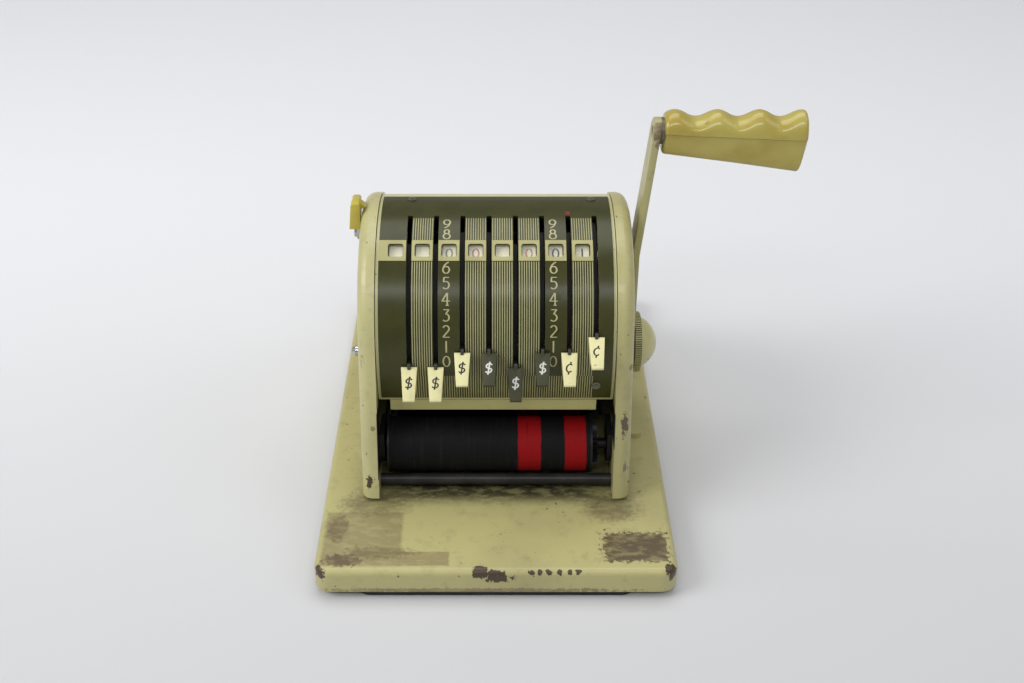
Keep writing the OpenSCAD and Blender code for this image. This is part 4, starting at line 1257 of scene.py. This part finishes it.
@dataclass(frozen=True)
class Lettering:
    """Strokes of the figures: thick uprights and thin level strokes.

    Attributes:
        thin: Half width of a level stroke, of the figure's height.
        thick: Half width of an upright stroke.
        slant: How far the top leans to the right, of the height.
    """

    thin: float = 0.035
    thick: float = 0.062
    slant: float = 0.0

    def arc(self, at: Point, size: Point, a0: float, a1: float) -> list[Point]:
        """Gives points of an oval arc.

        Args:
            at: Middle of the oval.
            size: Its half sizes.
            a0: Start, in degrees.
            a1: End, in degrees.

        Returns:
            The points.
        """
        n = max(4, round(abs(a1 - a0) / 12))
        angles = [math.radians(a0 + (a1 - a0) * k / n) for k in range(n + 1)]
        return [(at[0] + size[0] * math.cos(a), at[1] + size[1] * math.sin(a)) for a in angles]

    def lines(self, glyph: Glyph) -> list[list[Point]]:
        """Gives the centre lines of a figure.

        Args:
            glyph: The figure or sign.

        Returns:
            One list of points for each stroke, with the middle at (0, 0).
        """
        arc = self.arc
        table: dict[Glyph, list[list[Point]]] = {
            Glyph.ZERO: [arc((0, 0), (0.25, 0.45), 90, 450)],
            Glyph.ONE: [[(0, -0.48), (0, 0.48)]],
            Glyph.TWO: [
                arc((0, 0.22), (0.23, 0.25), 160, -35) + [(-0.24, -0.44)],
                [(-0.25, -0.45), (0.27, -0.45)],
            ],
            Glyph.THREE: [
                [(-0.20, 0.45), (0.22, 0.45), (-0.02, 0.10)],
                arc((-0.02, -0.16), (0.26, 0.28), 95, -140),
            ],
            Glyph.FOUR: [
                [(0.08, 0.48), (-0.30, -0.14), (0.32, -0.14)],
                [(0.10, 0.48), (0.10, -0.46)],
                [(-0.02, -0.47), (0.22, -0.47)],
            ],
            Glyph.FIVE: [
                [(0.24, 0.45), (-0.16, 0.45), (-0.19, 0.08)],
                arc((-0.02, -0.16), (0.26, 0.29), 120, -140),
            ],
            Glyph.SIX: [
                arc((0, -0.18), (0.25, 0.28), 90, 450),
                [(0.20, 0.46), (0.02, 0.36), (-0.14, 0.18), (-0.24, -0.08)],
            ],
            Glyph.SEVEN: [[(-0.25, 0.45), (0.27, 0.45), (-0.05, -0.46)]],
            Glyph.EIGHT: [
                arc((0, 0.25), (0.19, 0.21), -90, 270),
                arc((0, -0.20), (0.26, 0.26), 90, 450),
            ],
            Glyph.NINE: [
                arc((0, 0.18), (0.25, 0.28), 90, 450),
                [(-0.20, -0.46), (-0.02, -0.36), (0.14, -0.18), (0.24, 0.08)],
            ],
            Glyph.DOLLAR: [
                arc((0, 0.17), (0.22, 0.18), 25, 235) + arc((0, -0.17), (0.22, 0.18), 55, -155),
                [(0, -0.50), (0, 0.50)],
            ],
            Glyph.CENT: [
                arc((0, 0), (0.24, 0.30), 48, 312),
                [(0.02, 0.30), (0.04, 0.50)],
                [(-0.04, -0.50), (-0.02, -0.30)],
            ],
        }
        return table[glyph]

    def divided(self, line: Sequence[Point], step: float = 0.12) -> list[Point]:
        """Splits the long pieces of a line, so that it can follow a curved surface.

        Args:
            line: The line's points.
            step: Longest piece that is left, of the figure's height.

        Returns:
            The points with those between them.
        """
        made = [line[0]]
        for near, far in zip(line, line[1:]):
            n = max(1, math.ceil(math.dist(near, far) / step))
            run, rise = far[0] - near[0], far[1] - near[1]
            made += [(near[0] + run * k / n, near[1] + rise * k / n) for k in range(1, n + 1)]
        return made

    def draw(
        self, shape: Shape, glyph: Glyph, height: float, place: Place, mark: int, thick: float
    ) -> None:
        """Adds a figure to a shape.

        Args:
            shape: What it is added to.
            glyph: The figure or sign.
            height: Its height, in metres.
            place: Gives the point at (u, v, height) of the surface.
            mark: Number of the finish.
            thick: How far it stands above the surface.
        """
        for k, whole in enumerate(self.lines(glyph)):
            line = self.divided(whole)
            path = []
            for j, (u, v) in enumerate(line):
                near, far = line[max(j - 1, 0)], line[min(j + 1, len(line) - 1)]
                run = math.hypot(far[0] - near[0], far[1] - near[1]) or 1.0
                upright = abs(far[1] - near[1]) / run
                half = self.thin + (self.thick - self.thin) * upright
                path.append(((u + self.slant * v) * height, v * height, half * height))
            # strokes that cross lie at slightly different heights
            strip(shape, path, place, mark, thick + k * 4e-6)


# ---------- sub-assemblies ----------


def dress(look: Look, *nodes: str) -> None:
    """Gives CAD nodes a finish.

    Args:
        look: The finish.
        *nodes: Names of the nodes.
    """
    material = look.value.build()
    for node in nodes:
        piece = frame["nodes"][node]
        if not piece.material_slots:
            piece.data.materials.append(material)
        for slot in piece.material_slots:
            slot.material = material
        LOG.info("dressed %s with %s", node, look.value.name)


def keep(piece: bpy.types.Object, body: str, slot: str, *nodes: str) -> None:
    """Ties a finished piece to its body and hides the CAD nodes that it stands for.

    Args:
        piece: The piece.
        body: The CAD body that carries it.
        slot: The record's material slot; not used.
        *nodes: CAD nodes that it replaces.
    """
    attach(piece, body)
    if nodes:
        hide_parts(*nodes)
    LOG.info("made %s on %s, %d faces", piece.name, body, len(piece.data.polygons))


def join(name: str, parts: Sequence[bpy.types.Object]) -> bpy.types.Object:
    """Joins plain mesh objects into one.

    Args:
        name: Name of the result.
        parts: The objects; they are used up.

    Returns:
        The joined object.
    """
    mesh = bpy.data.meshes.new(name)
    work = bmesh.new()
    materials: list[bpy.types.Material] = []
    for part in parts:
        start = len(work.faces)
        work.from_mesh(part.data)
        work.faces.ensure_lookup_table()
        local = [slot.material for slot in part.material_slots]
        for face in work.faces[start:]:
            material = local[face.material_index]
            if material not in materials:
                materials.append(material)
            face.material_index = materials.index(material)
    work.to_mesh(mesh)
    work.free()
    for material in materials:
        mesh.materials.append(material)
    for part in parts:
        bpy.data.objects.remove(part, do_unlink=True)
    made = bpy.data.objects.new(name, mesh)
    bpy.context.scene.collection.objects.link(made)
    return made


@dataclass
class Housing:
    """Base, castings, cover, rear panel and what is fixed to them."""

    def build(self) -> None:
        """Dresses the housing's nodes."""
        dress(Look.BASE, "base")
        dress(Look.LEFT_CASTING, "left_casting")
        dress(Look.RIGHT_CASTING, "right_casting")
        dress(Look.COVER, "cover")
        dress(Look.BAR, "front_bar")
        dress(Look.ENAMEL, "rear_panel", "side_gauge")
        dress(Look.FRAME, "window_frames")
        dress(Look.FACE, "face_plate")
        dress(Look.GLASS, "window_lenses")
        dress(Look.RUBBER, "base_pad")
        dress(Look.DARK_STEEL, "bottom_plate", "detent_bar", "rack_guides")
        dress(Look.SCREW, "face_screws")
        dress(
            Look.STEEL,
            "plate_screws",
            "case_screws",
            "sector_shaft",
            "shaft_spacers",
            "detent_springs",
            "tie_rod",
            "check_stop",
            "return_spring",
        )
        dress(Look.BRIGHT, "lever_post")
        dress(Look.ROD, "guide_rod")
        dress(Look.BRONZE, "shaft_bushes")


@dataclass
class FacePrint:
    """Fine lines, figures and the red mark printed on the slotted face.

    Attributes:
        lines: Fine lines in each column.
        line_width: Width of a line.
        line_pitch: Distance between lines.
        thick: How far the print stands above the plate.
        lined: Columns with fine lines; column k lies left of slot k + 1.
        figured: Columns with figures.
        figure_height: Height of the figures.
        figure_left: How far the figures stand left of their column's middle.
        spans: Angles of the fine lines above and below the frames, in degrees.
        low_start: Angle of the lines' lower end below the slots, in degrees.
        low_sweep: How far those lines run up from it.
        mark_slot: Slot whose upper end has the red mark.
        mark_half: Half width and half height of the mark.
        mark_angle: Angle of the mark, in degrees.
        angles: Angle of each figure, in degrees.
    """

    lines: int = 9
    line_width: float = 0.42 * MM
    line_pitch: float = 1.14 * MM
    thick: float = 0.03 * MM
    lined: tuple[int, ...] = (1, 3, 4, 5, 7)
    figured: tuple[int, ...] = (2, 6)
    figure_height: float = 6.1 * MM
    figure_left: float = 1.2 * MM
    spans: tuple[Point, Point] = ((64.0, 77.8), (-3.4, 52.4))
    low_start: float = -17.9
    low_sweep: float = 14.45
    mark_slot: int = 7
    mark_half: Point = (1.15 * MM, 1.5 * MM)
    mark_angle: float = 81.9
    angles: tuple[tuple[int, float], ...] = (
        (0, 4.6),
        (1, 12.1),
        (2, 19.5),
        (3, 27.0),
        (4, 34.5),
        (5, 42.0),
        (6, 49.4),
        (8, 67.3),
        (9, 73.9),
    )

    def radius(self) -> float:
        """Gives the radius of the printed surface."""
        low, _ = corners("face_plate")
        return FACE_AXIS.y - low.y + 0.012 * MM

    def middle(self, column: int) -> float:
        """Gives the middle of a column between two slots.

        Args:
            column: Number of the column, from 1 to 7.

        Returns:
            Its place along X.
        """
        return (slot_x(column) + slot_x(column + 1)) / 2

    def fine_lines(self) -> bpy.types.Object:
        """Makes all fine lines with the arc strips tree.

        Returns:
            The joined lines.
        """
        tree = arc_strips_tree()
        common = {
            "Radius": self.radius() + self.thick / 2,
            "Width": self.line_width,
            "Thickness": self.thick,
            "Spacing": self.line_pitch,
            "Finish": Look.PRINT.value.build(),
        }
        parts = []
        reach = (self.lines - 1) * self.line_pitch / 2
        for column in self.lined:
            for k, (low, high) in enumerate(self.spans):
                values = {
                    "Count": self.lines,
                    "First": self.middle(column) - reach,
                    "Start": math.radians(low),
                    "Sweep": math.radians(high - low),
                }
                parts.append(tree.run(f"lines_{column}_{k}", common | values))
        # the lines run on over the whole width below the slots
        left, right = slot_x(1) + 0.8 * MM, slot_x(8) - 1.2 * MM
        count = int((right - left) / self.line_pitch)
        values = {
            "Count": count + 1,
            "First": left,
            "Spacing": (right - left) / count,
            "Start": math.radians(self.low_start),
            "Sweep": math.radians(self.low_sweep),
        }
        parts.append(tree.run("lines_low", common | values))
        return join("face_fine_lines", parts)

    def on_plate(self, x: float, angle: float) -> Place:
        """Gives a placing function for print on the plate.

        Args:
            x: Middle of the print along X.
            angle: Middle of the print round the axis, in radians.

        Returns:
            The placing function.
        """
        radius = self.radius()
        return lambda u, v, h: round_axis(x + u, radius + h, angle + v / radius)

    def figures(self) -> bpy.types.Object:
        """Makes the figures beside the slots.

        Returns:
            All figures as one piece.
        """
        shape = Shape()
        hand = Lettering()
        for column in self.figured:
            for figure, angle in self.angles:
                place = self.on_plate(self.middle(column) - self.figure_left, math.radians(angle))
                hand.draw(shape, Glyph(str(figure)), self.figure_height, place, 0, self.thick)
        return shape.object("face_figures", [Look.PRINT])

    def mark(self) -> bpy.types.Object:
        """Makes the red mark.

        Returns:
            The mark.
        """
        shape = Shape()
        half_w, half_h = self.mark_half
        path = [(0, -half_h, half_w), (0, 0, half_w), (0, half_h, half_w)]
        place = self.on_plate(slot_x(self.mark_slot), math.radians(self.mark_angle))
        strip(shape, path, place, 0, self.thick)
        return shape.object("red_mark", [Look.RED_MARK])

    def build(self) -> None:
        """Builds the print."""
        for piece in (self.fine_lines(), self.figures(), self.mark()):
            keep(piece, "frame", "frame_cream")


@dataclass
class FigureCards:
    """Figure strips on the sectors, seen through the windows.

    Attributes:
        radius: Outer radius of the sectors' strips.
        width: Width of a strip.
        offset: Distance of a strip's middle from its slot.
        window: Angle of the windows, in degrees.
        thick: Thickness of the card.
        gap: Distance from the sector to the card.
        lead: How far the card reaches above the window, in steps.
        length: Length of the card, in steps.
        sections: Straight pieces that the card is bent from.
        height: Height of the figures.
        ink_thick: Thickness of the ink.
        inks: Ink of each lever's figures: 1 black, 2 grey, 3 red.
    """

    radius: float = 55.4 * MM
    width: float = 6.5 * MM
    offset: float = 6.3 * MM
    window: float = 58.2
    thick: float = 0.12 * MM
    gap: float = 0.03 * MM
    lead: float = 0.55
    length: float = 10.3
    sections: int = 60
    height: float = 5.6 * MM
    ink_thick: float = 0.02 * MM
    inks: tuple[int, ...] = (1, 1, 2, 3, 1, 3, 1, 1)

    def card(self, lever: int) -> bpy.types.Object:
        """Makes the card of a lever with its figures.

        Args:
            lever: Number of the lever.

        Returns:
            The card.
        """
        shape = Shape()
        hand = Lettering(0.045, 0.075)
        x = slot_x(lever) - self.offset
        radius = self.radius + self.gap
        surface = radius + self.thick
        top = math.radians(self.window) + level_at_rest(lever) * STEP
        turn = self.length * STEP
        angles = [top + STEP * self.lead - turn * k / self.sections for k in range(self.sections + 1)]
        path = [(0.0, angle, self.width / 2) for angle in angles]
        strip(shape, path, lambda u, v, h: round_axis(x + u, radius + h, v), 0, self.thick)
        for figure in range(10):
            angle = top - (figure + 1) * STEP

            def place(u: float, v: float, h: float, middle: float = angle) -> Vector:
                """Gives a point on the card's outer side."""
                return round_axis(x + u, surface + h, middle + v / surface)

            hand.draw(shape, Glyph(str(figure)), self.height, place, self.inks[lever - 1], self.ink_thick)
        looks = [Look.CARD, Look.BLACK_INK, Look.GREY_INK, Look.RED_INK]
        return shape.object(f"figure_card_{lever}", looks, math.radians(30))

    def build(self) -> None:
        """Builds one card for each lever."""
        for lever in range(1, LEVERS + 1):
            keep(self.card(lever), f"lever_{lever}", "tab_cream")


@dataclass
class LeverTabs:
    """Setting tabs with their money signs, and the sectors behind the slots.

    Attributes:
        radius: Distance of a tab's front face from the face's axis.
        tilt: How far the front face leans, in degrees.
        lowest: Angle of a tab at its lowest place, in degrees.
        height: Height of the signs.
        up: How far a sign stands above the middle of its tab's face.
        lift: Distance from the face to the sign's underside.
        thick: Thickness of the ink.
        dark: Levers with dark tabs.
        cents: Levers with a cent sign.
    """

    radius: float = 66.0 * MM
    tilt: float = 46.0
    lowest: float = -2.9
    height: float = 6.3 * MM
    up: float = 0.5 * MM
    lift: float = 0.01 * MM
    thick: float = 0.03 * MM
    dark: tuple[int, ...] = (4, 5, 6)
    cents: tuple[int, ...] = (7, 8)

    def sign_place(self, lever: int) -> Place:
        """Gives a placing function on a tab's front face.

        Args:
            lever: Number of the lever.

        Returns:
            The placing function.
        """
        angle = math.radians(self.lowest) + level_at_rest(lever) * STEP
        out = Vector((0, -math.cos(angle), math.sin(angle)))
        along = Vector((0, math.sin(angle), math.cos(angle)))
        tilt = math.radians(self.tilt)
        up = along * math.cos(tilt) - out * math.sin(tilt)
        normal = out * math.cos(tilt) + along * math.sin(tilt)
        centre = round_axis(slot_x(lever), self.radius, angle) + up * self.up
        return lambda u, v, h: centre + Vector((u, 0, 0)) + up * v + normal * (h + self.lift)

    def build(self) -> None:
        """Builds tabs and signs, and dresses the sectors."""
        hand = Lettering(0.042, 0.060, slant=0.16)
        for lever in range(1, LEVERS + 1):
            dark = lever in self.dark
            body = f"lever_{lever}"
            look = Look.TAB_DARK if dark else Look.TAB_CREAM
            slot = "tab_dark" if dark else "tab_cream"
            tab = soften(f"tab_{lever}", f"setting_tab_{lever}", 0.35 * MM, look)
            keep(tab, body, slot, f"tab_{lever}")
            shape = Shape()
            glyph = Glyph.CENT if lever in self.cents else Glyph.DOLLAR
            hand.draw(shape, glyph, self.height, self.sign_place(lever), 0, self.thick)
            sign = Look.SIGN_WHITE if dark else Look.SIGN_BLACK
            keep(shape.object(f"tab_sign_{lever}", [sign]), body, slot)
            dress(Look.SECTOR, f"sector_{lever}")


@dataclass
class InkRibbon:
    """Spools, windings, ratchet wheel and the run of the ribbon."""

    def build(self) -> None:
        """Dresses the ribbon's nodes."""
        dress(Look.RIBBON, "supply_ribbon", "takeup_ribbon", "ribbon_run")
        dress(Look.BLACK, "supply_spool", "takeup_spool", "ratchet_wheel", "spool_bearings")


@dataclass
class SideHandle:
    """Arm, knurled ring, cap and grip of the side handle.

    Attributes:
        ribs: Ribs round the ring.
        rib_depth: How far a rib stands out.
        rib_width: Width of a rib.
        washer_radius: Radius of the washer between arm and grip.
        washer_up: How far it sits above its solid's middle.
        washer_in: Distance from the bolt's inner end to the washer.
        bolt_radius: Radius of the bolt.
        washer_tuck: How far the washer reaches into the grip.
        bolt_tuck: How far the bolt reaches into the washer.
        grip_in: How much nearer the arm the grip sits than its solid.
        grip_back: How far behind the solid's middle it sits.
        grip: The grip's sizes by the names of its tree's inputs.
    """

    ribs: int = 84
    rib_depth: float = 0.45 * MM
    rib_width: float = 0.62 * MM
    washer_radius: float = 6.4 * MM
    washer_up: float = 0.8 * MM
    washer_in: float = 1.4 * MM
    bolt_radius: float = 2.8 * MM
    washer_tuck: float = 0.3 * MM
    bolt_tuck: float = 0.5 * MM
    grip_in: float = 2.0 * MM
    grip_back: float = 1.4 * MM
    grip: dict[str, float] = field(
        default_factory=lambda: {
            "Length": 68.4 * MM,
            "Half width": 8.6 * MM,
            "Crest": 9.2 * MM,
            "Scallop": 3.7 * MM,
            "Pitch": 20.2 * MM,
            "First": 5.4 * MM,
            "Fall": 3.4 * MM,
            "Lip": 0.7 * MM,
            "Low": 11.1 * MM,
            "Drop": 6.5 * MM,
            "Taper": 0.12,
            "Slant": 0.11,
            "Lean": 0.10,
            "Round": 1.8 * MM,
        }
    )

    def grip_piece(self) -> bpy.types.Object:
        """Makes the grip with the grip tree.

        Returns:
            The grip.
        """
        low, high = corners("grip")
        values = self.grip | {
            "Rings": 200,
            "Sides": 193,
            "X": low.x - self.grip_in,
            "Y": (low.y + high.y) / 2 + self.grip_back,
            "Z": high.z - self.grip["Crest"] - 0.1 * MM,
            "Finish": Look.GRIP.value.build(),
        }
        return grip_tree().run("finger_grip", values, math.radians(28))

    def collar_piece(self) -> bpy.types.Object:
        """Makes the washer between the arm and the grip, and the bolt's end behind it.

        Returns:
            The washer.
        """
        low, high = corners("grip_collar")
        middle = Vector((0.0, (low.y + high.y) / 2, (low.z + high.z) / 2 + self.washer_up))
        start, end = low.x + self.washer_in, corners("grip")[0].x - self.grip_in + self.washer_tuck
        washer = (self.washer_radius, start, end)
        bolt = (self.bolt_radius, low.x, start + self.bolt_tuck)
        shape = Shape()
        sides = 72
        ring = [math.tau * k / sides for k in range(sides)]
        for radius, x0, x1 in (washer, bolt):
            turned = [(middle.y + radius * math.cos(a), middle.z + radius * math.sin(a)) for a in ring]
            shape.prism([Vector((x0, y, z)) for y, z in turned], [Vector((x1, y, z)) for y, z in turned])
        return shape.object("grip_washer", [Look.COLLAR], math.radians(30))

    def ring_piece(self) -> bpy.types.Object:
        """Makes the knurled ring with the knurl tree.

        Returns:
            The ring.
        """
        low, high = corners("hub_ring")
        values = {
            "Ribs": self.ribs,
            "Radius": RING_RADIUS,
            "Depth": self.rib_depth,
            "Width": self.rib_width,
            "Start": low.x,
            "Length": high.x - low.x,
            "Y": HANDLE_AXIS.y,
            "Z": HANDLE_AXIS.z,
            "Finish": Look.KNURL.value.build(),
        }
        return knurl_tree().run("knurled_ring", values, math.radians(30))

    def build(self) -> None:
        """Builds the handle's pieces."""
        dress(Look.STEEL, "handle_shaft", "lift_pinions")
        arm = soften("handle_arm", "swing_arm", 0.4 * MM, Look.ARM)
        keep(arm, "handle", "enamel", "handle_arm")
        keep(self.ring_piece(), "handle", "enamel", "hub_ring")
        dress(Look.CAP, "hub_cap")
        keep(self.grip_piece(), "handle", "yellow", "grip")
        keep(self.collar_piece(), "handle", "dark_steel", "grip_collar")


@dataclass
class Platen:
    """Rising platen with its racks."""

    def build(self) -> None:
        """Dresses the platen's nodes."""
        dress(Look.STEEL, "platen_carriage")
        dress(Look.RUBBER, "platen_pad")


@dataclass
class ReleaseLever:
    """Small lever with its yellow tab on the left casting."""

    def build(self) -> None:
        """Builds the tab and dresses the lever."""
        dress(Look.BRIGHT, "release_lever")
        tab = soften("release_tab", "side_tab", 0.3 * MM, Look.TAB_YELLOW)
        keep(tab, "release", "yellow", "release_tab")


# ---------- camera, light and floor ----------


@dataclass(frozen=True)
class Lamp:
    """Soft rectangular lamp.

    Attributes:
        name: Name of the lamp.
        at: Its place.
        size: Its width and height.
        power: Its power in watts.
    """

    name: str
    at: Triple
    size: Point
    power: float

    def build(self, aim: Triple) -> None:
        """Adds the lamp.

        Args:
            aim: The point it faces.
        """
        data = bpy.data.lights.new(self.name, "AREA")
        data.shape = "RECTANGLE"
        data.size, data.size_y = self.size
        data.energy = self.power
        made = bpy.data.objects.new(self.name, data)
        made.location = self.at
        direction = Vector(aim) - Vector(self.at)
        made.rotation_euler = direction.to_track_quat("-Z", "Y").to_euler()
        bpy.context.scene.collection.objects.link(made)


@dataclass
class Studio:
    """Camera, floor and soft light.

    Attributes:
        eye: Place of the camera.
        pitch: How far it looks down, in degrees.
        lens: Focal length in millimetres on a 36 mm sensor.
        shift: Shift of the picture to the right, of its width.
        floor_half: Half width of the floor, and how far it reaches to the front.
        floor_back: Where the floor starts to curve up.
        floor_bend: Radius of that curve.
        floor_top: Height of the wall behind it.
        shade: Range along Y of the painted light falloff, in which the floor grows from the near to the far
            colour.
        near_floor: Colour of the floor in front, painted darker as shade.
        far_floor: Colour of the floor behind, painted lighter as lit.
        sky: Colour of the light from all around.
        sky_power: Strength of that light.
        aim: The point that the lamps face.
        lamps: The lamps.
    """

    eye: Triple = (0.0, -0.5773, 0.432)
    pitch: float = 32.9
    lens: float = 45.7
    shift: float = 0.0157
    floor_half: float = 12.0
    floor_back: float = 2.0
    floor_bend: float = 1.5
    floor_top: float = 4.0
    # painted light: the floor's colour grows from a darker front to a lighter back
    shade: Point = (-0.30, 0.35)
    near_floor: Color = (0.57, 0.57, 0.575)
    far_floor: Color = (0.80, 0.80, 0.81)
    sky: Color = (0.93, 0.95, 1.0)
    sky_power: float = 0.36
    aim: Triple = (0.0, 0.0, 0.08)
    lamps: tuple[Lamp, ...] = (
        Lamp("front_box", (0.0, -1.10, 1.22), (1.1, 0.22), 4.6),
        Lamp("left_box", (-1.3, -0.5, 1.2), (0.9, 0.9), 15.5),
        Lamp("right_box", (1.3, -0.3, 1.4), (0.9, 0.9), 3.2),
        Lamp("top_box", (0.0, 0.5, 1.9), (1.6, 1.2), 14.5),
    )

    def camera(self) -> None:
        """Places the camera."""
        data = bpy.data.cameras.new("eye")
        data.lens = self.lens
        data.sensor_width = 36.0
        data.shift_x = self.shift
        data.clip_start = 0.01
        data.clip_end = 30.0
        made = bpy.data.objects.new("eye", data)
        made.location = self.eye
        made.rotation_euler = (math.radians(90.0 - self.pitch), 0.0, 0.0)
        bpy.context.scene.collection.objects.link(made)
        bpy.context.scene.camera = made

    def floor(self) -> None:
        """Adds the pale floor, curved up far behind the machine, with painted light: darker in front,
        lighter behind.
        """
        half, back, bend = self.floor_half, self.floor_back, self.floor_bend
        turns = (0.2, 0.5, 0.8, 1.1, 1.4, math.pi / 2)
        line = [(-half, 0.0), (back, 0.0)]
        line += [(back + bend * math.sin(a), bend - bend * math.cos(a)) for a in turns]
        line += [(back + bend, self.floor_top)]
        verts = [(x, y, z) for y, z in line for x in (-half, half)]
        faces = [(a, a + 1, a + 3, a + 2) for a in range(0, len(verts) - 2, 2)]
        mesh = bpy.data.meshes.new("floor")
        mesh.from_pydata(verts, [], faces)
        board = Board("floor_pale")
        # painted light falloff: darker floor in front, lighter behind
        far = board.ramp(board.axes()[1], *self.shade)
        mesh.materials.append(board.surface(board.mix(far, self.near_floor, self.far_floor), 0.7))
        made = bpy.data.objects.new("floor", mesh)
        bpy.context.scene.collection.objects.link(made)
        for face in mesh.polygons:
            face.use_smooth = True

    def light(self) -> None:
        """Adds the light from all around and the lamps."""
        world = bpy.data.worlds.new("studio")
        world.use_nodes = True
        sky = next(n for n in world.node_tree.nodes if n.type == "BACKGROUND")
        sky.inputs[0].default_value = (*self.sky, 1.0)
        sky.inputs[1].default_value = self.sky_power
        bpy.context.scene.world = world
        bpy.context.scene.view_settings.view_transform = "Standard"
        for lamp in self.lamps:
            lamp.build(self.aim)

    def build(self) -> None:
        """Builds camera, floor and light."""
        self.camera()
        self.floor()
        self.light()


def main() -> None:
    """Builds the machine's looks in order."""
    logging.basicConfig(level=logging.INFO, format="%(name)s: %(message)s")
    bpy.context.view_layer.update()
    Studio().build()
    for assembly in (
        Housing(),
        FacePrint(),
        FigureCards(),
        LeverTabs(),
        InkRibbon(),
        SideHandle(),
        Platen(),
        ReleaseLever(),
    ):
        LOG.info("building %s", type(assembly).__name__)
        assembly.build()


if __name__ == "__main__":
    main()
